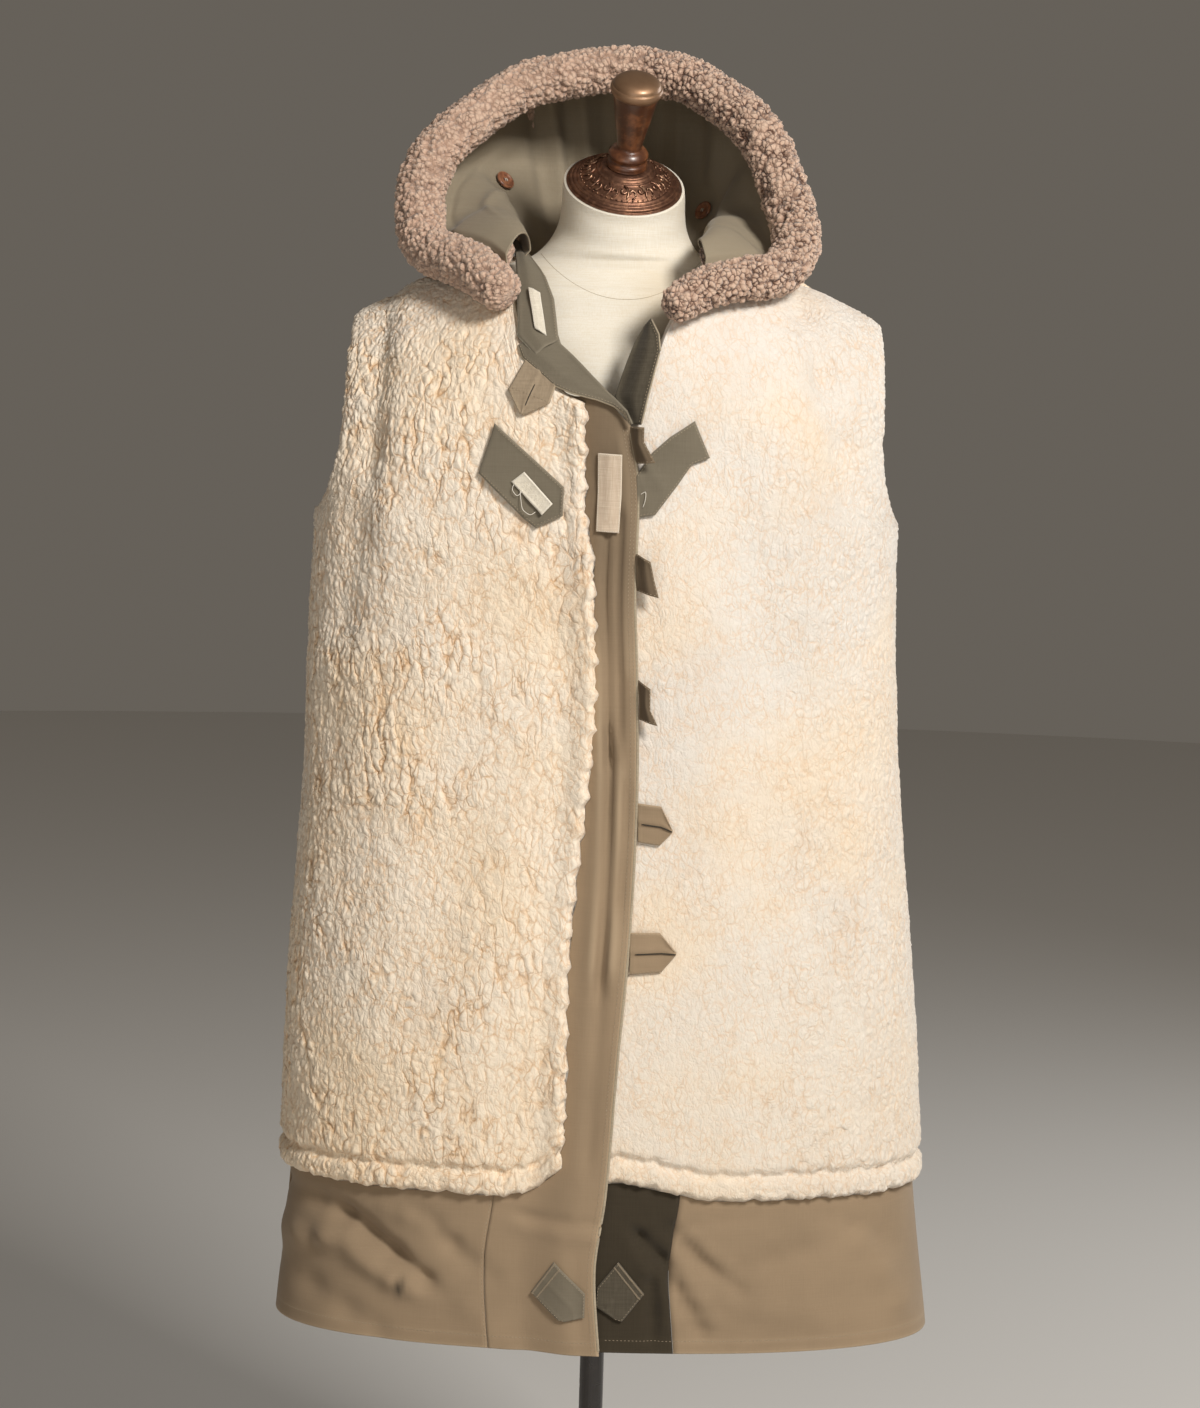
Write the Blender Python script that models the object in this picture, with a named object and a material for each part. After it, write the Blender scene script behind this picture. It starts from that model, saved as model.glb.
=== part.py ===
"""Hooded sleeveless shearling coat, worn fleece out, on a dress form with its stand.

Metres, +Z up. X runs across the wearer, -Y is the wearer's front, and the origin is the centre of the
base's underside. "right" and "left" are the wearer's.
"""
import math
from collections import namedtuple

import bpy
import bmesh
import numpy as np
from mathutils import Matrix, Vector

# ---------------------------------------------------------------- driving sizes
SEAM_GAP = 0.0004             # clear width at a seam between two pieces
SHELL_THICK = 0.0020          # canvas
FLEECE_THICK = 0.0110         # wool side of the shearling
FLEECE_EDGE = 0.0055          # wool left at a cut edge
COTTON_THICK = 0.0015         # hood lining, straps
PATCH_THICK = 0.0010          # tape patches and label
PATCH_CLEAR = 0.0015          # patch over the rounded strap below it
HEM_Z = 0.430                 # lower edge of the canvas
FLEECE_HEM_Z = 0.578          # lower edge of the wool
SPLIT_Z = 1.200               # rows below this height are level
UNDERARM = 0.070              # share of the way from SPLIT_Z to the shoulder tip
SHOULDER_FALL = 0.160         # height over which the shoulders round off
SIDE_POWER = 0.90             # squareness of a level section, across
DEPTH_POWER = 0.80            # squareness of a level section, front to back
TIP_ANGLE = math.radians(68)  # where the armhole's edge stands on the section
LIFT = 0.0146                 # rise of the right front over the left front's wool
LIFT_FROM = -0.075            # distance from the front edge where that rise starts
LIFT_TO = -0.020              # and where it is complete
TRIM_SIDES = 10               # sides of the fur roll in section
TRIM_RINGS = 35               # sections along it
TRIM_END = 0.72               # share of the radius left at its two ends
HOOD_FUR_GAP = 0.0022         # between the hood's lining and the fur outside it
HOOD_START = 0.0008           # between the fur roll and the hood's cloth behind it
LONG_DIAGONAL = 0.97          # a square of cloth is cut along its other diagonal below this ratio
HOOD_COLUMNS = 3              # columns of the hood's grid between two stations

FLEECE_IN = SHELL_THICK + 0.0003
FLEECE_OUT = FLEECE_IN + FLEECE_THICK
ON_FLEECE = FLEECE_OUT + 0.0005


class Table:
    """Rows of named columns, read smoothly at any value of the first column."""

    def __init__(self, columns, rows):
        self.row = namedtuple("Row", columns)
        self.rows = np.array(sorted(rows), dtype=float)

    def at(self, key):
        keys = self.rows[:, 0]
        key = min(max(key, keys[0]), keys[-1])
        i = min(int(np.searchsorted(keys, key, side="right")) - 1, len(keys) - 2)
        step = keys[i + 1] - keys[i]
        t = (key - keys[i]) / step
        p, q = self.rows[i, 1:], self.rows[i + 1, 1:]
        m, n = self.slope(i) * step, self.slope(i + 1) * step
        value = ((2 * t**3 - 3 * t**2 + 1) * p + (t**3 - 2 * t**2 + t) * m
                 + (3 * t**2 - 2 * t**3) * q + (t**3 - t**2) * n)
        return self.row(key, *value)

    def slope(self, i):
        """Slope at row i that keeps each stretch between two rows within their values."""
        k = self.rows
        if i in (0, len(k) - 1):
            j = min(i, len(k) - 2)
            return (k[j + 1, 1:] - k[j, 1:]) / (k[j + 1, 0] - k[j, 0])
        before = (k[i, 1:] - k[i - 1, 1:]) / (k[i, 0] - k[i - 1, 0])
        after = (k[i + 1, 1:] - k[i, 1:]) / (k[i + 1, 0] - k[i, 0])
        mean = (before + after) / 2
        limit = 2 * np.minimum(abs(before), abs(after))
        return np.where(before * after > 0, np.sign(mean) * np.minimum(abs(mean), limit), 0)


# Level sections of the coat, at the canvas's inner face.
BODY = Table("z half_width centre_x front_depth back_depth", [
    (0.430, 0.318, 0.007, 0.150, 0.146),
    (0.575, 0.303, 0.004, 0.147, 0.143),
    (0.750, 0.293, -0.001, 0.143, 0.136),
    (0.950, 0.277, -0.006, 0.138, 0.130),
    (1.110, 0.270, -0.009, 0.138, 0.134),
    (1.200, 0.267, -0.008, 0.140, 0.142),
    (1.300, 0.266, -0.004, 0.138, 0.147),
    (1.500, 0.266, 0.000, 0.138, 0.147),
])
# Shoulder line: height of the canvas's inner face over the distance from the middle.
SHOULDER = Table("x z", [
    (0.000, 1.500), (0.060, 1.477), (0.105, 1.4555), (0.150, 1.437), (0.200, 1.415),
    (0.230, 1.400), (0.255, 1.382), (0.275, 1.360), (0.320, 1.280),
])
# The two fronts' free edges: the right front's canvas edge, and where its wool ends.
EDGE = Table("z canvas_x wool_inset", [
    (0.430, 0.006, 0.042), (0.510, 0.000, 0.042), (0.580, 0.008, 0.042), (0.710, 0.016, 0.048),
    (0.830, 0.024, 0.055), (0.960, 0.027, 0.046), (1.070, 0.024, 0.037), (1.160, 0.020, 0.038),
    (1.240, 0.021, 0.049), (1.305, 0.011, 0.040),
])
# Upper edges of the front panels, from the closure to the shoulder line.
RIGHT_NECK = Table("x z", [
    (-0.112, 1.4525), (-0.103, 1.436), (-0.097, 1.408), (-0.089, 1.376), (-0.066, 1.347),
    (-0.049, 1.333), (-0.024, 1.322), (0.013, 1.303),
])
LEFT_NECK = Table("x z", [
    (-0.045, 1.298), (0.010, 1.303), (0.024, 1.330), (0.034, 1.374), (0.046, 1.404), (0.078, 1.436),
    (0.112, 1.4525),
])
BACK_NECK_Z = 1.450           # upper edge of the back between the shoulder seams
BACK_NECK_POWER = 4           # flatness of that edge
NECK_HALF = 0.112             # from the middle to where the shoulder seam meets the neck

# Rows of the fur roll round the hood's opening: its centre line and radius, from the right throat
# over the top to the left throat.
Roll = namedtuple("Roll", "x y z radius")
TRIM = [Roll(*row) for row in [
    (-0.105, -0.131, 1.420, 0.0200), (-0.139, -0.096, 1.446, 0.0230), (-0.183, -0.052, 1.465, 0.0235),
    (-0.193, -0.030, 1.503, 0.0240), (-0.187, -0.015, 1.538, 0.0240), (-0.167, 0.003, 1.570, 0.0235),
    (-0.103, 0.036, 1.620, 0.0225), (-0.058, 0.050, 1.634, 0.0225), (-0.014, 0.058, 1.642, 0.0225),
    (0.033, 0.055, 1.639, 0.0230), (0.071, 0.044, 1.627, 0.0230), (0.127, 0.012, 1.583, 0.0240),
    (0.155, -0.016, 1.519, 0.0240), (0.164, -0.048, 1.478, 0.0235), (0.148, -0.082, 1.450, 0.0215),
    (0.113, -0.110, 1.442, 0.0205), (0.075, -0.134, 1.432, 0.0195), (0.043, -0.153, 1.410, 0.0170),
]]
# Stations round the hood from right to left: the place on the fur roll, the place on the neckline and
# how far the cloth swells back, out and down between them.
Station = namedtuple("Station", "at_roll neck_x neck_y neck_z back side rise neck_back neck_side neck_rise "
                                "fur fur_end")
HOOD = [Station(*row) for row in [
    (0.6, -0.090, -0.068, 1.4580, 0.018, 0.012, 0.036, 0.000, 0.000, 0.022, 0.003, 0.62),
    (2.0, -0.098, -0.035, 1.4620, 0.046, 0.022, 0.036, 0.010, 0.006, 0.050, 0.005, 0.76),
    (4.0, -0.099, 0.018, 1.4620, 0.085, 0.025, 0.010, 0.020, 0.000, 0.065, 0.008, 0.84),
    (6.0, -0.076, 0.066, 1.4590, 0.120, 0.000, 0.004, 0.060, -0.020, 0.055, 0.010, 0.90),
    (8.2, 0.000, 0.100, 1.4550, 0.130, 0.000, 0.000, 0.085, 0.000, 0.035, 0.010, 0.93),
    (10.2, 0.074, 0.066, 1.4590, 0.120, 0.000, 0.004, 0.060, 0.010, 0.055, 0.010, 0.90),
    (12.2, 0.090, 0.018, 1.4620, 0.080, -0.030, 0.012, 0.020, -0.010, 0.060, 0.006, 0.84),
    (14.2, 0.082, -0.036, 1.4600, 0.040, -0.026, 0.036, 0.006, -0.008, 0.046, 0.003, 0.74),
    (15.7, 0.079, -0.066, 1.4510, 0.018, -0.012, 0.036, 0.000, 0.000, 0.022, 0.003, 0.62),
]]

# Dress form: level or tilted rings of its linen cover. Where z is 0, the ring's side lies just under the
# coat's shoulder line, which it carries.
Ring = namedtuple("Ring", "z half_width front back power centre_y tilt lean")
FORM = [Ring(*row) for row in [
    (0.800, 0.150, 0.092, 0.098, 0.50, 0.000, 0, 0), (0.806, 0.156, 0.098, 0.104, 0.50, 0.000, 0, 0),
    (0.860, 0.165, 0.104, 0.112, 0.50, 0.000, 0, 0), (0.920, 0.158, 0.100, 0.104, 0.50, 0.000, 0, 0),
    (1.000, 0.134, 0.092, 0.088, 0.50, 0.000, 0, 0), (1.080, 0.136, 0.098, 0.092, 0.50, 0.000, 0, 0),
    (1.180, 0.158, 0.112, 0.104, 0.50, 0.000, 0, 0), (1.260, 0.172, 0.116, 0.110, 0.50, 0.000, 0, 0),
    (1.330, 0.186, 0.108, 0.108, 0.52, 0.000, 0, 0), (1.380, 0.190, 0.094, 0.100, 0.56, 0.000, 0, 0),
    (1.4040, 0.186, 0.084, 0.090, 0.64, 0.000, 0, 0), (0, 0.174, 0.078, 0.084, 0.72, 0.000, 0, 0),
    (0, 0.158, 0.072, 0.079, 0.78, 0.000, 0, 0), (0, 0.138, 0.066, 0.074, 0.80, 0.000, 0, 0),
    (0, 0.118, 0.061, 0.070, 0.78, 0.000, 0, 0), (1.4580, 0.090, 0.061, 0.066, 0.62, 0.000, 2, 0),
    (1.4690, 0.073, 0.062, 0.063, 0.52, -0.002, 7, 2),
    (1.4860, 0.0625, 0.060, 0.060, 0.50, -0.006, 17, 3),
    (1.5040, 0.0592, 0.059, 0.059, 0.50, -0.011, 25, 5),
    (1.5240, 0.0584, 0.0584, 0.0584, 0.50, -0.017, 33, 6),
    (1.5290, 0.0575, 0.0575, 0.0575, 0.50, -0.020, 33, 6),
]]
FORM_SIDES = 28
SHOULDER_CLEAR = 0.0008
CAP_TILT = math.radians(33)
CAP_LEAN = math.radians(6)
CAP_RADIUS = 0.0525
CAP_RISE = 0.0210             # from the neck's top to the finial's foot
POLE_RADIUS = 0.0118
BASE_RADIUS = 0.200
BASE_THICK = 0.014
SOCKET = 0.050                # height of the base's socket over its plate
COLLAR_HEIGHT = 0.030
ROUND_SIDES = 28
BASE_SIDES = 96

# ---------------------------------------------------------------- colours
Finish = namedtuple("Finish", "color roughness metallic")
FINISHES = {
    "fleece_cream": Finish((0.78, 0.66, 0.50), 0.95, 0.0),
    "canvas_tan": Finish((0.36, 0.31, 0.21), 0.90, 0.0),
    "canvas_olive": Finish((0.16, 0.15, 0.10), 0.90, 0.0),
    "cotton_grey": Finish((0.22, 0.22, 0.18), 0.90, 0.0),
    "tape_white": Finish((0.75, 0.71, 0.62), 0.85, 0.0),
    "fur_brown": Finish((0.33, 0.23, 0.17), 0.95, 0.0),
    "button_brown": Finish((0.24, 0.12, 0.07), 0.35, 0.0),
    "linen_offwhite": Finish((0.72, 0.68, 0.58), 0.85, 0.0),
    "bronze": Finish((0.28, 0.17, 0.11), 0.40, 0.8),
    "wood_walnut": Finish((0.16, 0.07, 0.03), 0.35, 0.0),
    "pole_brown": Finish((0.030, 0.022, 0.018), 0.25, 0.0),
}


def clear_scene():
    for item in list(bpy.data.objects):
        bpy.data.objects.remove(item)


def material(name):
    made = bpy.data.materials.get(name)
    if made is None:
        finish = FINISHES[name]
        made = bpy.data.materials.new(name)
        made.use_nodes = True
        shader = made.node_tree.nodes["Principled BSDF"]
        shader.inputs["Base Color"].default_value = (*finish.color, 1.0)
        shader.inputs["Roughness"].default_value = finish.roughness
        shader.inputs["Metallic"].default_value = finish.metallic
    return made


def add_object(name, mesh_data, finish):
    """Link a closed mesh, given as a bmesh, as one named object."""
    bmesh.ops.recalc_face_normals(mesh_data, faces=mesh_data.faces[:])
    mesh = bpy.data.meshes.new(name)
    mesh_data.to_mesh(mesh)
    mesh_data.free()
    mesh.materials.append(material(finish))
    made = bpy.data.objects.new(name, mesh)
    bpy.context.scene.collection.objects.link(made)
    return made


# ---------------------------------------------------------------- the coat's form
def smoothstep(t):
    t = min(max(t, 0.0), 1.0)
    return t * t * (3 - 2 * t)


def shoulder_z(x):
    return SHOULDER.at(abs(x)).z


def depth_squared(x, z, back):
    """Square of the distance from the middle plane; it runs on below zero past the coat's outline."""
    row = BODY.at(z)
    across = min(abs(x - row.centre_x) / row.half_width, 1.2) ** (2 / SIDE_POWER)
    section = math.copysign(abs(1 - across) ** DEPTH_POWER, 1 - across)
    fall = 1 - min((shoulder_z(x) - z) / SHOULDER_FALL, 1.0)
    depth = row.back_depth if back else row.front_depth
    return depth**2 * section * (1 - fall**2)


def on_coat(x, z, back, offset):
    """Point on the coat over (x, z), moved out from the canvas's inner face."""
    side = 1 if back else -1
    y = side * math.sqrt(max(depth_squared(x, z, back), 0.0))
    step = 2e-4
    slope_x = (depth_squared(x + step, z, back) - depth_squared(x - step, z, back)) / (2 * step)
    slope_z = (depth_squared(x, z + step, back) - depth_squared(x, z - step, back)) / (2 * step)
    normal = Vector((-slope_x, 2 * y, -slope_z)).normalized()
    return Vector((x, y + side * SEAM_GAP / 2, z)) + normal * offset


def side_angle_x(angle, z):
    """Height z's x at an angle round the section, 0 at the middle and 90 degrees at the right or left."""
    row = BODY.at(z)
    return row.centre_x + row.half_width * math.copysign(abs(math.sin(angle)) ** SIDE_POWER, angle)


def angle_of_x(x, z):
    row = BODY.at(z)
    share = (x - row.centre_x) / row.half_width
    return math.copysign(math.asin(min(abs(share), 1.0) ** (1 / SIDE_POWER)), share)


def edge_x(z):
    return EDGE.at(z).canvas_x


def cut_edge_x(z):
    """The right front's edge as its rows cut it, straight between two rows."""
    levels = [row_z(r, EDGE.rows[-1, 0]) for r in range(ROWS)]
    return float(np.interp(z, levels, [edge_x(level) for level in levels]))


def lift(from_edge):
    """Rise of the right front over the left one, by the distance from the right front's edge."""
    return LIFT * smoothstep((from_edge - LIFT_FROM) / (LIFT_TO - LIFT_FROM))


def on_right_front(x, z, offset):
    return on_coat(x, z, False, offset + lift(x - edge_x(z)))


def on_left_front(x, z, offset):
    return on_coat(x, z, False, offset)


# ---------------------------------------------------------------- cloth walls
def slab(name, inner, outer, finish):
    """Closed wall between two grids of points with the same rows and columns."""
    mesh = bmesh.new()
    rows, columns = len(inner), len(inner[0])
    low = [[mesh.verts.new(p) for p in row] for row in inner]
    high = [[mesh.verts.new(p) for p in row] for row in outer]
    for sheet, flip in ((low, True), (high, False)):
        for r in range(rows - 1):
            for c in range(columns - 1):
                a, b = sheet[r][c], sheet[r][c + 1]
                d, e = sheet[r + 1][c], sheet[r + 1][c + 1]
                long_way = (b.co - d.co).length < LONG_DIAGONAL * (a.co - e.co).length
                for face in ((a, b, d), (b, e, d)) if long_way else ((a, b, e), (a, e, d)):
                    mesh.faces.new(face[::-1] if flip else face)
    rim = ([(r, 0) for r in range(rows)] + [(rows - 1, c) for c in range(1, columns)]
           + [(r, columns - 1) for r in range(rows - 2, -1, -1)]
           + [(0, c) for c in range(columns - 2, 0, -1)])
    for (r, c), (s, d) in zip(rim, rim[1:] + rim[:1]):
        mesh.faces.new((low[r][c], low[s][d], high[s][d]))
        mesh.faces.new((low[r][c], high[s][d], high[r][c]))
    return add_object(name, mesh, finish)


def drawn_in(grid, first, last, amount=SEAM_GAP / 2):
    """Move a grid's first or last column inwards, to leave a seam's gap."""
    for row in grid:
        if first:
            row[0] = row[0] + (row[1] - row[0]).normalized() * amount
        if last:
            row[-1] = row[-1] + (row[-2] - row[-1]).normalized() * amount
    return grid


LEVELS = [HEM_Z, 0.500, FLEECE_HEM_Z, 0.590, 0.660, 0.750, 0.840, 0.930, 1.020, 1.110, SPLIT_Z]
WOOL_ROW = LEVELS.index(FLEECE_HEM_Z)
RISES = [0.07, 0.16, 0.30, 0.48, 0.66, 0.81, 0.91, 0.975, 1.0]
ROWS = len(LEVELS) + len(RISES)


def armhole_angle(share):
    """Angle of the side edge, by the share of the way up from SPLIT_Z to the shoulder tip."""
    t = min(max((share - UNDERARM) / ARMHOLE_RISE, 0.0), 1.0)
    return math.pi / 2 - (math.pi / 2 - TIP_ANGLE) * math.sqrt(1 - (1 - t)**2)


def row_share(r):
    return 0.0 if r < len(LEVELS) else RISES[r - len(LEVELS)]


def row_z(r, top):
    if r < len(LEVELS):
        return LEVELS[r]
    return SPLIT_Z + (top - SPLIT_Z) * row_share(r)


# Shares of the way from the facing's seam to the side; the first short steps reach the neck's corner.
RIGHT_FAR = [0.0, 0.045, 0.10, 0.22, 0.40, 0.60, 0.79, 0.93, 1.0]
LEFT_FAR = [0.0, 0.127, 0.25, 0.42, 0.60, 0.79, 0.93, 1.0]
# Distances of the facings' columns from the right front's edge.
RIGHT_NEAR = ["edge", "lap", "wool", "wool_in", "rise", "seam"]
WOOL_STEP = 0.012
RIGHT_RISE = 0.082
RIGHT_SEAM = 0.105
LEFT_NEAR = [-0.048, -0.018, -0.006, 0.022, 0.046]
LEFT_SEAM = 0.070
TOP_COLUMN_Z = 1.40           # height at which a column's place on the shoulder line is read
BACK_COLUMNS = 8              # columns of the back on each side of the middle
ARMHOLE_RISE = 0.45           # share of the armhole's height over which its edge leaves the side


def right_near_x(column, z):
    edge = EDGE.at(z)
    inset = {"edge": 0.0, "lap": -LIFT_TO, "wool": edge.wool_inset, "wool_in": edge.wool_inset + WOOL_STEP,
             "rise": RIGHT_RISE, "seam": RIGHT_SEAM}[RIGHT_NEAR[column]]
    return edge.canvas_x - inset


def front_places(side):
    """Grid of (x, z) for one front: rows from the hem up, columns from the closure to the side."""
    near = len(RIGHT_NEAR) if side < 0 else len(LEFT_NEAR) + 1
    far = RIGHT_FAR if side < 0 else LEFT_FAR
    columns = near + len(far) - 1
    neck = RIGHT_NECK if side < 0 else LEFT_NECK

    def x_of(column, z, share):
        start = right_near_x(RIGHT_NEAR.index("seam"), z) if side < 0 else edge_x(z) + LEFT_SEAM
        if column < near - 1:
            return right_near_x(column, z) if side < 0 else edge_x(z) + LEFT_NEAR[column]
        part = far[column - near + 1]
        first = angle_of_x(start, z)
        return side_angle_x(first + (side * armhole_angle(share) - first) * part, z)

    places = []
    for r in range(ROWS):
        row = []
        for column in range(columns):
            x_top = x_of(column, TOP_COLUMN_Z, 1.0)
            top = neck.at(x_top).z if abs(x_top) < NECK_HALF else shoulder_z(x_top)
            z = row_z(r, top)
            x = x_of(column, z, row_share(r))
            row.append((x, shoulder_z(x) if r == ROWS - 1 and abs(x_top) >= NECK_HALF else z))
        places.append(row)
    return places


def back_places():
    places = []
    for r in range(ROWS):
        row = []
        for column in range(-BACK_COLUMNS, BACK_COLUMNS + 1):
            part = math.copysign(abs(column / BACK_COLUMNS) ** SIDE_POWER, column)
            x_top = side_angle_x(part * armhole_angle(1.0), TOP_COLUMN_Z)
            top = shoulder_z(x_top)
            if abs(x_top) < NECK_HALF:
                blend = (abs(x_top) / NECK_HALF) ** BACK_NECK_POWER
                top = BACK_NECK_Z + (shoulder_z(NECK_HALF) - BACK_NECK_Z) * blend
            z = row_z(r, top)
            x = side_angle_x(part * armhole_angle(row_share(r)), z)
            row.append((x, shoulder_z(x) if r == ROWS - 1 and abs(x_top) >= NECK_HALF else z))
        places.append(row)
    return places


def wool_outside(r, column, columns):
    """Outer offset of a front's wool, thinner at its hem, its free edge, the neck and the armhole."""
    hem = r == WOOL_ROW
    neck = r == ROWS - 1 and column <= 2
    armhole = column == columns - 1 and r > len(LEVELS)
    cut = hem or neck or armhole or column == 0
    return FLEECE_IN + FLEECE_EDGE if cut else FLEECE_OUT


def build_front(side):
    """One front: canvas facing, canvas shell and wool, all on the same rows and columns."""
    word = "right" if side < 0 else "left"
    place = on_right_front if side < 0 else on_left_front
    places = front_places(side)
    seam = len(RIGHT_NEAR) - 1 if side < 0 else len(LEFT_NEAR)
    wool = RIGHT_NEAR.index("wool") if side < 0 else 1

    def grid(first, last, low, offset):
        return [[place(x, z, offset(r, c) if callable(offset) else offset)
                 for c, (x, z) in enumerate(row[first:last + 1])]
                for r, row in enumerate(places) if r >= low]

    last = len(places[0]) - 1
    slab(f"facing_{word}_front", drawn_in(grid(0, seam, 0, 0.0), False, True),
         drawn_in(grid(0, seam, 0, SHELL_THICK), False, True),
         "canvas_tan" if side < 0 else "canvas_olive")
    slab(f"shell_{word}_front", drawn_in(grid(seam, last, 0, 0.0), True, False),
         drawn_in(grid(seam, last, 0, SHELL_THICK), True, False), "canvas_tan")

    def outside(r, c):
        return wool_outside(r, c, last + 1 - wool)

    slab(f"fleece_{word}_front", grid(wool, last, WOOL_ROW, FLEECE_IN), grid(wool, last, WOOL_ROW, outside),
         "fleece_cream")


def build_back():
    places = back_places()

    def grid(low, offset):
        return [[on_coat(x, z, True, offset(r, c) if callable(offset) else offset)
                 for c, (x, z) in enumerate(row)] for r, row in enumerate(places) if r >= low]

    columns = len(places[0])

    def outside(r, c):
        armhole = c in (0, columns - 1) and r > len(LEVELS)
        return FLEECE_IN + FLEECE_EDGE if armhole or r == WOOL_ROW else FLEECE_OUT

    slab("shell_back", grid(0, 0.0), grid(0, SHELL_THICK), "canvas_tan")
    slab("fleece_back", grid(WOOL_ROW, FLEECE_IN), grid(WOOL_ROW, outside), "fleece_cream")


# ---------------------------------------------------------------- pieces laid on the fronts
Strip = namedtuple("Strip", "x z x2 z2 offset offset2")


STRAP_RISE = 0.0006           # chest strap over the facets of the wool
CLIMB = 0.65                  # share of a row's width over which it climbs onto the wool


def climb(row, t):
    """Offset a share t of the way across a row: it climbs onto the wool early and stays there."""
    share = smoothstep(t / CLIMB) if row.offset < row.offset2 else 1 - smoothstep((1 - t) / CLIMB)
    return row.offset + (row.offset2 - row.offset) * share


def laid(name, place, rows, thick, finish, across=2):
    """Cloth piece on a front: each row gives its two ends (x, z) and how far out each end lies."""
    def grid(extra):
        made = []
        for row in rows:
            points = []
            for i in range(across + 1):
                t = i / across
                points.append(place(row.x + (row.x2 - row.x) * t, row.z + (row.z2 - row.z) * t,
                                    climb(row, t) + extra))
            made.append(points)
        return made
    return slab(name, grid(0.0), grid(thick), finish)


def build_neck_pieces():
    """Throat band, lapel and left collar, which edge the neck opening, and what is sewn to them."""
    high, low = ON_FLEECE, 0.0030
    band = [Strip(-0.1130, 1.4440, -0.0850, 1.4500, high, low),
            Strip(-0.1090, 1.4340, -0.0770, 1.4390, high, low),
            Strip(-0.1040, 1.4200, -0.0690, 1.4250, high, low),
            Strip(-0.0980, 1.4000, -0.0630, 1.4050, high, low),
            Strip(-0.0950, 1.3840, -0.0610, 1.3890, high, low)]
    laid("throat_band", on_coat_front, band, COTTON_THICK, "cotton_grey", 3)
    patch = [Strip(-0.0885, 1.4170, -0.0765, 1.4190, 0.0, 0.0),
             Strip(-0.0840, 1.3900, -0.0700, 1.3940, 0.0, 0.0)]
    patch = [row._replace(offset=band_offset(row.x, row.z, band), offset2=band_offset(row.x2, row.z2, band))
             for row in patch]
    laid("throat_patch", on_coat_front, patch, PATCH_THICK, "tape_white", 1)
    lapel = [Strip(-0.0930, 1.3760, -0.0580, 1.3880, high, low),
             Strip(-0.0790, 1.3560, -0.0480, 1.3770, high, low),
             Strip(-0.0620, 1.3370, -0.0340, 1.3620, high + 0.002, low + 0.004),
             Strip(-0.0400, 1.3250, -0.0200, 1.3480, high + 0.006, low + 0.009),
             Strip(-0.0160, 1.3150, -0.0050, 1.3330, high + 0.010, low + 0.016),
             Strip(0.0060, 1.3030, 0.0100, 1.3100, high + 0.012, high + 0.010)]
    laid("lapel_right", on_coat_front, lapel, COTTON_THICK, "cotton_grey", 3)
    collar = [Strip(0.0130, 1.3090, 0.0230, 1.3060, high, high),
              Strip(0.0000, 1.3260, 0.0300, 1.3260, 0.0090, high),
              Strip(-0.0040, 1.3450, 0.0360, 1.3480, low, high),
              Strip(0.0030, 1.3680, 0.0395, 1.3720, low, high),
              Strip(0.0140, 1.3900, 0.0370, 1.3900, low, high)]
    laid("collar_left", on_coat_front, collar, COTTON_THICK, "cotton_grey", 3)
    tab = [Strip(-0.0900, 1.3600, -0.0660, 1.3330, ON_FLEECE, ON_FLEECE),
           Strip(-0.0990, 1.3480, -0.0750, 1.3230, ON_FLEECE, ON_FLEECE),
           Strip(-0.1030, 1.3330, -0.0900, 1.3140, ON_FLEECE, ON_FLEECE)]
    laid("throat_tab", on_right_front, tab, SHELL_THICK, "canvas_tan", 2)


def on_coat_front(x, z, offset):
    return on_coat(x, z, False, offset)


def band_offset(x, z, band):
    """Height of the throat band's outer face over the coat at (x, z)."""
    rows = sorted(band, key=lambda row: row.z)
    left = np.interp(z, [row.z for row in rows], [row.x for row in rows])
    right = np.interp(z, [row.z2 for row in rows], [row.x2 for row in rows])
    thirds = [climb(rows[1], i / 3) for i in range(4)]
    return float(np.interp((x - left) / (right - left) * 3, range(4), thirds)) + COTTON_THICK + PATCH_CLEAR


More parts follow.
